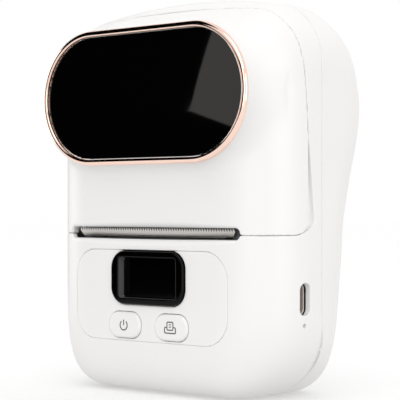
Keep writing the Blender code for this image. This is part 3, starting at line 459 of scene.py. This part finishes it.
def even(low, high, step, pad=0.6):
    """Evenly spaced grid lines along all three axes, reaching past a box by pad."""
    return [grid_lines(low[i] - pad, high[i] + pad, step) for i in range(3)]


def surface_net(values, lines):
    """Vertices and quads of the zero surface: one vertex in each crossed cell, joined across each crossed edge."""
    cells = np.array(values.shape) - 1
    positions, owners, quads = [], [], []
    for axis in range(3):
        near, far = [slice(None)] * 3, [slice(None)] * 3
        near[axis], far[axis] = slice(0, -1), slice(1, None)
        a, b = values[tuple(near)], values[tuple(far)]
        crossed = np.argwhere((a < 0) != (b < 0))
        start, end = a[tuple(crossed.T)], b[tuple(crossed.T)]
        point = np.stack([lines[i][crossed[:, i]] for i in range(3)], 1).astype(float)
        length = lines[axis][crossed[:, axis] + 1] - lines[axis][crossed[:, axis]]
        point[:, axis] += start / (start - end) * length
        first, second = ((1, 2), (2, 0), (0, 1))[axis]
        corners = []
        for back_first, back_second in ((1, 1), (0, 1), (0, 0), (1, 0)):
            cell = crossed.copy()
            cell[:, first] -= back_first
            cell[:, second] -= back_second
            corners.append(cell)
        inside = np.all([(cell >= 0).all(1) & (cell < cells).all(1) for cell in corners], axis=0)
        keys = [(cell[inside] @ np.array([cells[1] * cells[2], cells[2], 1])) for cell in corners]
        positions += [point[inside]] * 4
        owners += keys
        quad = np.stack(keys, 1)
        leaving = (start < 0)[inside]
        quad[~leaving] = quad[~leaving][:, ::-1]
        quads.append(quad)
    owners, positions = np.concatenate(owners), np.concatenate(positions)
    names, index = np.unique(owners, return_inverse=True)
    count = np.bincount(index)
    vertices = np.stack([np.bincount(index, positions[:, i]) / count for i in range(3)], 1)
    return vertices, np.searchsorted(names, np.concatenate(quads))


def gradient(field, points, h=0.02):
    """A field's slope at each point, from differences over a distance h each way."""
    found = np.empty_like(points)
    for axis in range(3):
        step = np.zeros(3)
        step[axis] = h
        found[:, axis] = (field(*(points + step).T) - field(*(points - step).T)) / (2 * h)
    return found


def settle(field, points, rounds=4, most=0.25, flattest=1e-6):
    """Moves points onto the field's zero surface by Newton steps, each no longer than most."""
    for _ in range(rounds):
        slope = gradient(field, points)
        shift = field(*points.T)[:, None] * slope / np.maximum((slope**2).sum(1), flattest)[:, None]
        size = np.linalg.norm(shift, axis=1)
        points = points - shift * np.minimum(1, most / np.maximum(size, TINY))[:, None]
    return points


def placed(name, data):
    """A new object in the scene that shows the given mesh, curve, lamp or camera."""
    obj = bpy.data.objects.new(name, data)
    bpy.context.scene.collection.objects.link(obj)
    return obj


def moulded(name, field, lines):
    """An object whose surface is the zero surface of a field, with normals from the field itself."""
    x, y, z = np.meshgrid(*lines, indexing="ij", sparse=True)
    vertices, quads = surface_net(field(x, y, z), lines)
    vertices = settle(field, vertices)
    normals = gradient(field, vertices)
    normals /= np.maximum(np.linalg.norm(normals, axis=1), TINY)[:, None]
    mesh = bpy.data.meshes.new(name)
    mesh.from_pydata((vertices * MM).tolist(), [], quads.tolist())
    mesh.shade_smooth()
    mesh.normals_split_custom_set_from_vertices(normals.tolist())
    return placed(name, mesh)


# ---------------------------------------------------------------- materials

COAT_ROUGHNESS, BUMP_HEIGHT = 0.04, 0.0002
BROAD_GRAIN, BROAD_DETAIL, FINE_DETAIL = 45.0, 2.0, 4.0
TINT_FROM, TINT_TO = 0.3, 0.7


def surface(
    name, colour, roughness, metallic=0.0, grain=900.0, stretch=(1, 1, 1),
    colour_spread=0.03, rough_spread=0.06, bump=0.02, coat=0.0, specular=0.5,
):
    """A procedural finish: a fine grain varies the colour and the gloss a little and lifts the surface."""
    made = bpy.data.materials.new(name)
    made.use_nodes = True
    nodes, links = made.node_tree.nodes, made.node_tree.links
    shader = nodes["Principled BSDF"]
    shader.inputs["Metallic"].default_value = metallic
    shader.inputs["Coat Weight"].default_value = coat
    shader.inputs["Coat Roughness"].default_value = COAT_ROUGHNESS
    shader.inputs["Specular IOR Level"].default_value = specular
    place = nodes.new("ShaderNodeTexCoord")
    mapping = nodes.new("ShaderNodeMapping")
    mapping.inputs["Scale"].default_value = stretch
    links.new(place.outputs["Object"], mapping.inputs["Vector"])
    fine, broad = nodes.new("ShaderNodeTexNoise"), nodes.new("ShaderNodeTexNoise")
    for noise, scale, detail in ((fine, grain, FINE_DETAIL), (broad, BROAD_GRAIN, BROAD_DETAIL)):
        noise.inputs["Scale"].default_value = scale
        noise.inputs["Detail"].default_value = detail
        links.new(mapping.outputs["Vector"], noise.inputs["Vector"])
    tint = nodes.new("ShaderNodeValToRGB")
    ends = ((TINT_FROM, 1 - colour_spread), (TINT_TO, 1 + colour_spread))
    for element, (position, share) in zip(tint.color_ramp.elements, ends):
        element.color = (*[min(channel * share, 1) for channel in colour], 1)
        element.position = position
    links.new(broad.outputs["Fac"], tint.inputs["Fac"])
    links.new(tint.outputs["Color"], shader.inputs["Base Color"])
    gloss = nodes.new("ShaderNodeMapRange")
    gloss.inputs["To Min"].default_value = max(roughness - rough_spread, 0.01)
    gloss.inputs["To Max"].default_value = min(roughness + rough_spread, 1.0)
    links.new(fine.outputs["Fac"], gloss.inputs["Value"])
    links.new(gloss.outputs["Result"], shader.inputs["Roughness"])
    if bump:
        lift = nodes.new("ShaderNodeBump")
        lift.inputs["Strength"].default_value = bump
        lift.inputs["Distance"].default_value = BUMP_HEIGHT
        links.new(fine.outputs["Fac"], lift.inputs["Height"])
        links.new(lift.outputs["Normal"], shader.inputs["Normal"])
    return made


SHELL_COLOUR = (0.905, 0.895, 0.885)

# The finish of each of the frame's material slots
LOOKS = {
    "white_shell": surface("satin_white_shell", SHELL_COLOUR, 0.36, grain=1400, colour_spread=0.008, bump=0.03),
    "button_white": surface("satin_white_button", SHELL_COLOUR, 0.32, grain=1600, colour_spread=0.008, bump=0.02),
    "rose_gold": surface(
        "polished_rose_gold", (0.92, 0.68, 0.58), 0.06, metallic=1.0, colour_spread=0.02, rough_spread=0.02, bump=0.0),
    "window_black": surface(
        "gloss_black_window", (0.0012, 0.0012, 0.0013), 0.035, grain=60, rough_spread=0.012, bump=0.0),
    "lens_black": surface(
        "gloss_black_lens", (0.001, 0.001, 0.0011), 0.05, grain=60, rough_spread=0.015, bump=0.0, specular=0.12),
    "blade_steel": surface(
        "brushed_blade_steel", (0.53, 0.51, 0.49), 0.22, metallic=1.0, grain=500, stretch=(0.06, 1, 1),
        colour_spread=0.04, rough_spread=0.05, bump=0.01),
    "port_steel": surface(
        "port_steel", (0.66, 0.6, 0.56), 0.45, metallic=0.6, grain=700, stretch=(0.2, 1, 1), bump=0.01),
    "steel": surface(
        "brushed_steel", (0.58, 0.58, 0.6), 0.32, metallic=1.0, grain=500, stretch=(0.1, 1, 1),
        colour_spread=0.04, rough_spread=0.08, bump=0.02),
    "dark_plastic": surface(
        "dark_moulded_plastic", (0.19, 0.195, 0.205), 0.55, grain=1200, colour_spread=0.05, bump=0.08),
    "rubber": surface("platen_rubber", (0.022, 0.022, 0.024), 0.72, grain=1500, colour_spread=0.1, bump=0.12),
    "acetal": surface("acetal", (0.78, 0.77, 0.72), 0.42, colour_spread=0.02),
    "ceramic": surface(
        "head_ceramic", (0.62, 0.5, 0.3), 0.24, grain=1200, stretch=(0.1, 1, 1), colour_spread=0.05, bump=0.01),
    "aluminium": surface(
        "heatsink_aluminium", (0.66, 0.67, 0.69), 0.38, metallic=1.0, grain=500, stretch=(0.08, 1, 1),
        rough_spread=0.08, bump=0.03),
    "flex_amber": surface("amber_flex", (0.42, 0.2, 0.035), 0.3, grain=800, stretch=(1, 0.1, 0.1), colour_spread=0.12),
    "sensor_black": surface("sensor_black", (0.012, 0.012, 0.013), 0.35, colour_spread=0.1, bump=0.03),
    "board_green": surface(
        "solder_mask_green", (0.012, 0.11, 0.045), 0.33, grain=700, colour_spread=0.15, bump=0.03, coat=0.3),
    "cell_sleeve": surface("cell_sleeve", (0.05, 0.13, 0.34), 0.28, grain=600, colour_spread=0.06),
}
# Painted reflection: the walls of the display's sunk opening get a lighter grey than the black lens they are moulded
# in, standing in for light caught on those walls.
WELL_WALL_PAINTED_SHEEN = surface("display_well_wall_painted_sheen", (0.13, 0.13, 0.135), 0.4, rough_spread=0.05, bump=0.01)
PRINT = surface("icon_grey_print", (0.06, 0.06, 0.066), 0.5, grain=2000)


# ---------------------------------------------------------------- pieces


def dress(obj, slot, body_name, *nodes, look=None):
    """Gives a piece its finish and its body, and hides the CAD nodes that it stands for."""
    obj.data.materials.clear()
    obj.data.materials.append(look or LOOKS[slot])
    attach(obj, body_name)
    if nodes:
        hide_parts(*nodes)


def casings():
    """The lid and the two housings, on grids that are finest at the seams, the exit, the hinge and the screws."""
    half, top = HALF_W + 1, HEIGHT + 1.5
    step, depth_step, seam_step, fitting_step, edge_step = 1.3, 1.2, 0.32, 0.5, 0.2
    rim = (LID_REAR - 10.6, LID_REAR + 1.1, seam_step)
    hinge_top = 119.5

    lid_x = grid_lines(-half, half, step, *mirrored(32.5, 37.5, fitting_step))
    lid_y = grid_lines(POD_FRONT - 1, LID_REAR + 1.4, depth_step, (POD_FRONT - 1, POD_FRONT + 1.6, 0.35), rim)
    exit_zone = (LID_FOOT - 1, EXIT_Z + 4.5, seam_step)
    lid_z = grid_lines(LID_FOOT - 1, top, step, exit_zone, (110, hinge_top, fitting_step))
    lid = moulded("lid_moulding", lid_with_lugs, (lid_x, lid_y, lid_z))
    dress(lid, "white_shell", "lid", "lid_shell")

    seam_y = SEAM_Y - SEAM_GAP
    corners, posts = mirrored(30.3, 32.2, 0.3), mirrored(34, 37.5, fitting_step)
    front_x = grid_lines(-half, half, step, *corners, *posts, (44.5, HALF_W + 0.5, 0.3))
    face, seam = (FRONT_Y - 0.3, FRONT_Y + 1.4, 0.25), (seam_y - 0.5, seam_y + 0.5, edge_step)
    front_y = grid_lines(FRONT_Y - 1, seam_y + 0.6, depth_step, face, rim, seam)
    panel, exit_zone = (FACE_LOW[2] - 0.6, FACE_HIGH[2] + 0.6, 0.45), (EXIT_Z - 4, EXIT_Z + 1, seam_step)
    front_z = grid_lines(-1, top, step, panel, exit_zone, (113, hinge_top, fitting_step))
    front = moulded("front_moulding", front_housing, (front_x, front_y, front_z))
    dress(front, "white_shell", "base", "front_housing")

    back_x = grid_lines(-half, half, step, *mirrored(33, 45.5, 0.55))
    seats = (REAR_POST_Y, HEAD_SEAT_Y + 0.2, fitting_step)
    back_y = grid_lines(SEAM_Y - 0.6, CREST_Y + 1.5, step, (SEAM_Y, SEAM_Y + 0.5, edge_step), seats)
    heights = [middle(node)[2] for node in SCREW_NODES[1:3]]
    back_z = grid_lines(-1, top, step, *[(height - 3.5, height + 3.5, fitting_step) for height in heights])
    rear = moulded("rear_moulding", rear_housing, (back_x, back_y, back_z))
    dress(rear, "white_shell", "base", "rear_housing")


def face_pieces():
    """The control panel, the display's cover and the two button caps."""
    ends, openings = mirrored(30, 31.5, 0.25), mirrored(1.5, 17, 0.3)
    lines = [
        grid_lines(FACE_LOW[0] - 0.5, FACE_HIGH[0] + 0.5, 0.6, *ends, *openings),
        grid_lines(FRONT_Y - 0.4, FRONT_Y + FACE_DEPTH + 0.4, 0.2),
        grid_lines(FACE_LOW[2] - 0.5, FACE_HIGH[2] + 0.5, 0.35),
    ]
    dress(moulded("face_plate", control_panel, lines), "white_shell", "base", "control_panel")
    lens = moulded("display_cover", display_lens, even(LENS_LOW, LENS_HIGH, 0.3))
    dress(lens, "lens_black", "base", "display_lens")
    lens.data.materials.append(WELL_WALL_PAINTED_SHEEN)
    # The side walls of the sunk opening take the lighter grey, a painted reflection on black lens plastic.
    for face in lens.data.polygons:
        point = face.center / MM
        sunk = LENS_LOW[1] + 0.35 < point.y < SCREEN_Y + 0.2 and lens_outline(*point) < -1.5
        if sunk and abs(face.normal.y) < 0.7:
            face.material_index = 1
    for key in KEYS:
        cap = moulded(f"{key}_cap", button(key), even(*span(f"{key}_button"), 0.28))
        dress(cap, "button_white", f"{key}_key", f"{key}_button")


def stroke(name, curves, width, key, proud=0.06):
    """Printed lines of an icon, a little proud of the button's crown."""
    centre, front = middle(f"{key}_button"), span(f"{key}_button")[0][1]
    curve = bpy.data.curves.new(name, "CURVE")
    curve.dimensions = "3D"
    curve.bevel_depth = width / 2 * MM
    curve.bevel_resolution = 2
    curve.use_fill_caps = True
    for points, closed in curves:
        spline = curve.splines.new("POLY")
        spline.points.add(len(points) - 1)
        for knot, (a, b) in zip(spline.points, points):
            knot.co = ((centre[0] + a) * MM, (front - proud) * MM, (centre[2] + b) * MM, 1)
        spline.use_cyclic_u = closed
    dress(placed(name, curve), "button_white", f"{key}_key", look=PRINT)


def arc(centre, r, start, end, steps=24):
    angles = np.radians(np.linspace(start, end, steps + 1))
    return [(centre[0] + r * math.cos(a), centre[1] + r * math.sin(a)) for a in angles]


def round_corners(half, low, high, r, steps):
    """Four arcs round the corner centres at +-half, low and high, from the upper left round by the foot."""
    corners = ((-half, high, 90), (-half, low, 180), (half, low, 270), (half, high, 0))
    return [point for a, b, start in corners for point in arc((a, b), r, start, start + 90, steps)]


def icons():
    """The power and print symbols: an open ring with a bar, and a sheet standing in a tray."""
    ring_low, ring_r, bar_top = -0.1, 1.5, 1.6
    ring, bar = arc((0, ring_low), ring_r, 130, 410), [(0, ring_low), (0, bar_top)]
    stroke("power_icon", [(ring, False), (bar, False)], 0.42, "power")
    tray_half, tray_top, tray_mouth = 1.8, 0.15, 1.2
    tray = [(-tray_mouth, tray_top), (-tray_half, tray_top)]
    tray += round_corners(tray_half, -1.2, -0.25, 0.4, 5) + [(tray_mouth, tray_top)]
    sheet = round_corners(0.85, -0.3, 1.4, 0.35, 4)
    stroke("print_icon", [(tray, False), (sheet, True)], 0.4, "print")
    lines = [([(-0.5, height), (0.5, height)], False) for height in (0.15, 0.6, 1.05)]
    stroke("print_icon_lines", lines, 0.26, "print")


def linked(name, bm, sharp=None):
    """An object made from a bmesh, smooth but for edges sharper than an angle in degrees."""
    mesh = bpy.data.meshes.new(name)
    bm.to_mesh(mesh)
    bm.free()
    mesh.shade_smooth()
    if sharp:
        mesh.set_sharp_from_angle(angle=math.radians(sharp))
    return placed(name, mesh)


def ringed(bm, rings):
    """Skins a closed row of rings of points: each ring is joined to the next, and the last to the first."""
    rings = [[bm.verts.new(Vector(point) * MM) for point in ring] for ring in rings]
    for ring, following in zip(rings, rings[1:] + rings[:1]):
        for i in range(len(ring)):
            j = (i + 1) % len(ring)
            bm.faces.new((ring[i], ring[j], following[j], following[i]))


def window_pieces():
    """The ring round the window, swept along the window's outline, and the window itself."""
    path = []
    for side, start in ((1, -90), (-1, 90)):
        for angle in np.radians(np.linspace(start, start + 180, 49)):
            path.append((side * REACH, WINDOW_Z, math.cos(angle), math.sin(angle)))
        for i in range(1, 12):
            path.append((side * REACH * (1 - i / 6), WINDOW_Z, 0, side))
    inner, outer, front = PANEL_R + 0.05, BEZEL_R, BEZEL_LOW[1]
    rise, fall = 0.6, 1.15
    crest = inner + rise
    section = [(outer - 0.5, RING_BACK), (inner, RING_BACK)]
    section += [(crest + rise * a, front + rise * (1 + b)) for a, b in arc((0, 0), 1, 180, 270, 8)]
    section += [(crest + (outer - crest) * a, front + fall * (1 + b)) for a, b in arc((0, 0), 1, 270, 360, 10)[1:]]
    section += [(outer, RING_BACK - 0.1), (outer - 0.1, RING_BACK)]
    bm = bmesh.new()
    ringed(bm, [[(x + nx * out, y, z + nz * out) for out, y in section] for x, z, nx, nz in path])
    bmesh.ops.recalc_face_normals(bm, faces=bm.faces)
    dress(linked("bezel_ring", bm), "rose_gold", "lid", "window_bezel")

    panel_x = even(PANEL_LOW, PANEL_HIGH, 0.9)[0]
    panel_y = grid_lines(PANEL_LOW[1] - 0.6, PANEL_HIGH[1] + 0.4, 0.22)
    panel_z = even(PANEL_LOW, PANEL_HIGH, 0.6)[2]
    panel = moulded("window_glass", window_panel, (panel_x, panel_y, panel_z))
    dress(panel, "window_black", "lid", "window_panel")


def tear_blade():
    """The leaning toothed blade and the flange that it stands on."""
    low, high = BLADE_LOW, BLADE_HIGH
    half, front = high[0], low[1] - 0.1
    pitch, tooth, half_tip, thick, lean, end_cut = 1.0, 0.95, 0.08, 0.45, 1.0, 1.2

    def y_at(z):
        return front + lean * (1 - (z - low[2]) / (high[2] - low[2]))

    outline = [(-half + end_cut, low[2]), (half - end_cut, low[2]), (half, high[2] - tooth)]
    for i in range(round(2 * half / pitch)):
        right = half - i * pitch
        tips = [(right - share * pitch, high[2]) for share in (0.5 - half_tip, 0.5 + half_tip)]
        outline += [*tips, (right - pitch, high[2] - tooth)]
    bm = bmesh.new()
    rims = [[bm.verts.new(Vector((x, y_at(z) + depth, z)) * MM) for x, z in outline] for depth in (0, thick)]
    bm.faces.new(rims[0])
    bm.faces.new(list(reversed(rims[1])))
    for i in range(len(outline)):
        j = (i + 1) % len(outline)
        bm.faces.new((rims[0][j], rims[0][i], rims[1][i], rims[1][j]))
    bmesh.ops.recalc_face_normals(bm, faces=bm.faces)
    blade = linked("toothed_blade", bm, sharp=20)
    bevel = blade.modifiers.new("edge", "BEVEL")
    bevel.width, bevel.segments, bevel.limit_method = 0.04 * MM, 1, "ANGLE"
    dress(blade, "blade_steel", "base", "tear_blade")

    flange = bmesh.new()
    size = Vector((2 * half - 8, high[1] - front - 0.6, 0.5))
    centre = Vector((0, (high[1] + front + 0.9) / 2, low[2] + 0.25))
    bmesh.ops.create_cube(flange, size=1, matrix=Matrix.Translation(centre * MM) @ Matrix.Diagonal((*(size * MM), 1)))
    bmesh.ops.bevel(flange, geom=flange.edges[:], offset=0.12 * MM, segments=2, affect="EDGES")
    dress(linked("blade_flange", flange, sharp=40), "blade_steel", "base")


def port():
    """The USB socket's shell and tongue."""
    low, high = span("usb_socket")
    pad, wall_step = 0.5, 0.15
    socket = moulded("usb_receptacle", usb_socket, [
        grid_lines(low[0] - pad, high[0] + pad, 0.8, (high[0] - 1.2, high[0] + 0.3, wall_step)),
        grid_lines(low[1] - pad, high[1] + pad, wall_step),
        grid_lines(low[2] - pad, high[2] + pad, 0.2),
    ])
    dress(socket, "port_steel", "base", "usb_socket")


def turned(name, node, section, steps=72):
    """A piece turned about the X axis through a node's middle, from its closed section of (x, radius)."""
    _, y, z = middle(node)
    angles = np.linspace(0, 2 * math.pi, steps, endpoint=False)
    bm = bmesh.new()
    ringed(bm, [[(x, y + r * math.cos(angle), z + r * math.sin(angle)) for x, r in section] for angle in angles])
    bmesh.ops.remove_doubles(bm, verts=bm.verts, dist=1e-6)
    bmesh.ops.dissolve_degenerate(bm, edges=bm.edges, dist=1e-7)
    bmesh.ops.recalc_face_normals(bm, faces=bm.faces)
    return linked(name, bm, sharp=30)


def two_ended(half, low, high):
    """A section with the same shape at both ends, from the half of it at the low end."""
    return half + [(high + low - x, r) for x, r in reversed(half)]


def roll_and_platen():
    """The round pieces that the open lid shows: the platen's sleeve and shaft, and the hubs that hold the roll."""
    low, high = span("platen_roller")
    start, r, bore = low[0], (high[2] - low[2]) / 2, 1.6
    half = [(start, bore), (start, r - 0.9), (start + 0.25, r - 0.35), (start + 0.6, r - 0.08), (start + 1.0, r)]
    sleeve = turned("platen_sleeve", "platen_roller", two_ended(half, start, high[0]))
    dress(sleeve, "rubber", "platen", "platen_roller")

    low, high = span("platen_shaft")
    start, r, chamfer = low[0], (high[2] - low[2]) / 2, 0.3
    half = [(start, 0), (start, r - chamfer), (start + chamfer, r)]
    spindle = turned("platen_spindle", "platen_shaft", two_ended(half, start, high[0]))
    dress(spindle, "steel", "platen", "platen_shaft")

    for side, name in ((1, "left"), (-1, "right")):
        low, high = span(f"hub_{name}")
        r, dish = (high[2] - low[2]) / 2, 2.0
        root, tip = (low[0], high[0]) if side > 0 else (high[0], low[0])
        from_root = [(0, 0), (0, r - 0.2), (0.2, r)]
        from_tip = [(0.9, r), (0.3, r - 0.3), (0, r - 0.9), (0, r - 1.7), (dish, r - 1.9), (dish, 0)]
        section = [(root + side * x, radius) for x, radius in from_root]
        section += [(tip - side * x, radius) for x, radius in from_tip]
        hub = turned(f"roll_hub_{name}", f"hub_{name}", section)
        dress(hub, "acetal", f"{name}_hub", f"hub_{name}")


def carried_over():
    """The frame's own solids that stay in view, each with its finish and a small bevel on its edges."""
    slots = {part["node"]: part["material_slot"] for part in frame["record"]["subparts"]}
    for name, obj in frame["nodes"].items():
        if obj.hide_render:
            continue
        obj.data.materials.clear()
        obj.data.materials.append(LOOKS[slots[name]])
        obj.data.shade_smooth()
        weld = obj.modifiers.new("weld", "WELD")
        weld.merge_threshold = 0.005 * MM
        bevel = obj.modifiers.new("edge", "BEVEL")
        bevel.width, bevel.segments, bevel.limit_method = 0.12 * MM, 2, "ANGLE"
        bevel.angle_limit = math.radians(38)
        bevel.harden_normals = True


# ---------------------------------------------------------------- stage

# Black and bright cards stand round the printer. Each has a name, an angle from the front in degrees and a width.
CARD_DISTANCE, CARD_Z, CARD_HEIGHT, CARD_TARGET = 0.5, 0.12, 0.34, (0, 0, 0.1)
BLACK_CARDS = (("flag_0", -40, 0.32), ("flag_1", -5, 0.3), ("flag_2", -128, 0.3))
BRIGHT_CARDS = (("strip_0", -80, 0.2), ("strip_1", 24, 0.14), ("strip_2", 78, 0.24))

# Lamps: name, position, height aimed at, size and power
LAMPS = (
    ("key", (0.1, -0.45, 0.9), 0.06, (0.6, 0.5), 0.2),
    ("side", (0.5, -0.42, 0.22), 0.07, (0.35, 0.35), 0.6),
    ("front", (0.3, -0.85, 0.16), 0.07, (0.6, 0.4), 0.2),
)
FLOOR_COLOUR = (0.995, 0.995, 0.995)
SKY_FROM, SKY_TO, SKY_LOW, SKY_HIGH = -0.45, -0.02, 0.66, 1.0
EYE, HEADING = (0.3063, -0.3606, 0.0575), math.atan2(0.6494, 0.7604)
SENSOR_WIDTH, FOCAL_LENGTH, SHIFT_Y = 36.0, 133.2, 0.02


def lamp(name, position, target, size, power):
    """A soft rectangular light, which lights the pieces but isn't mirrored in them."""
    light = bpy.data.lights.new(name, "AREA")
    light.shape = "RECTANGLE"
    light.size, light.size_y = size
    light.energy = power
    obj = placed(name, light)
    obj.location = position
    obj.rotation_euler = (Vector(target) - Vector(position)).to_track_quat("-Z", "Y").to_euler()
    obj.visible_glossy = False


def card(name, position, target, size, look, roll=0):
    """A studio card that is seen only as a reflection in the glossy pieces."""
    bm = bmesh.new()
    bmesh.ops.create_grid(bm, x_segments=1, y_segments=1, size=0.5)
    obj = linked(name, bm)
    obj.data.materials.append(look)
    obj.scale = (*size, 1)
    obj.location = position
    facing = (Vector(target) - Vector(position)).to_track_quat("-Z", "Y")
    obj.rotation_euler = (facing @ Quaternion((0, 0, 1), math.radians(roll))).to_euler()
    obj.visible_camera = obj.visible_diffuse = obj.visible_shadow = obj.visible_transmission = False


def emitter(name, colour, strength):
    """A material that gives off its own light and mirrors nothing."""
    made = bpy.data.materials.new(name)
    made.use_nodes = True
    shader = made.node_tree.nodes["Principled BSDF"]
    shader.inputs["Base Color"].default_value = (0, 0, 0, 1)
    shader.inputs["Specular IOR Level"].default_value = 0.0
    shader.inputs["Emission Color"].default_value = (*colour, 1)
    shader.inputs["Emission Strength"].default_value = strength
    return made


def floor_and_sky():
    """A pale floor, and a white sky that dims below the horizon."""
    bm = bmesh.new()
    bmesh.ops.create_grid(bm, x_segments=8, y_segments=8, size=6.0)
    floor = linked("floor", bm)
    finish = surface("pale_floor", FLOOR_COLOUR, 0.9, grain=300, bump=0.0, colour_spread=0.004, specular=0.0)
    floor.data.materials.append(finish)
    floor.visible_diffuse = False

    world = bpy.data.worlds.new("studio")
    bpy.context.scene.world = world
    world.use_nodes = True
    nodes, links = world.node_tree.nodes, world.node_tree.links
    nodes["Background"].inputs["Color"].default_value = (1, 1, 1, 1)
    direction, split, height = (nodes.new(f"ShaderNode{kind}") for kind in ("TexCoord", "SeparateXYZ", "MapRange"))
    links.new(direction.outputs["Generated"], split.inputs["Vector"])
    links.new(split.outputs["Z"], height.inputs["Value"])
    links.new(height.outputs["Result"], nodes["Background"].inputs["Strength"])
    sockets = (("From Min", SKY_FROM), ("From Max", SKY_TO), ("To Min", SKY_LOW), ("To Max", SKY_HIGH))
    for socket, value in sockets:
        height.inputs[socket].default_value = value


def lights_and_cards():
    """Three soft lamps, and the cards that draw the dark and bright lines on the ring and the window."""
    for name, position, height, size, power in LAMPS:
        lamp(name, position, (0, 0, height), size, power)
    black, bright = emitter("flag_black", (0, 0, 0), 0), emitter("card_bright", (1, 1, 1), 2.4)
    glow = emitter("card_glow", (1, 0.96, 0.92), 1)
    for cards, look in ((BLACK_CARDS, black), (BRIGHT_CARDS, bright)):
        for name, angle, width in cards:
            angle = math.radians(angle)
            position = (math.sin(angle) * CARD_DISTANCE, -math.cos(angle) * CARD_DISTANCE, CARD_Z)
            card(name, position, CARD_TARGET, (width, CARD_HEIGHT), look)
    lid_front = (0, -0.03, 0.09)
    card("flag_top", (-0.34, -0.2, 0.44), lid_front, (0.5, 0.5), black)
    card("card_high", (0.22, -0.26, 0.46), lid_front, (0.3, 0.4), bright)
    card("window_card", (-0.17, -0.37, 0.132), (0.035, -0.03, 0.098), (0.135, 0.105), glow, roll=-18)


def camera():
    """A level camera at the height of the printer's middle."""
    view = bpy.data.cameras.new("camera")
    view.sensor_width = SENSOR_WIDTH
    view.lens = FOCAL_LENGTH
    view.shift_y = SHIFT_Y
    view.clip_start = 0.01
    eye = placed("camera", view)
    eye.location = EYE
    eye.rotation_euler = (math.radians(90), 0, HEADING)
    bpy.context.scene.camera = eye
    bpy.context.scene.view_settings.view_transform = "Standard"


casings()
face_pieces()
icons()
window_pieces()
tear_blade()
port()
roll_and_platen()
carried_over()
floor_and_sky()
lights_and_cards()
camera()
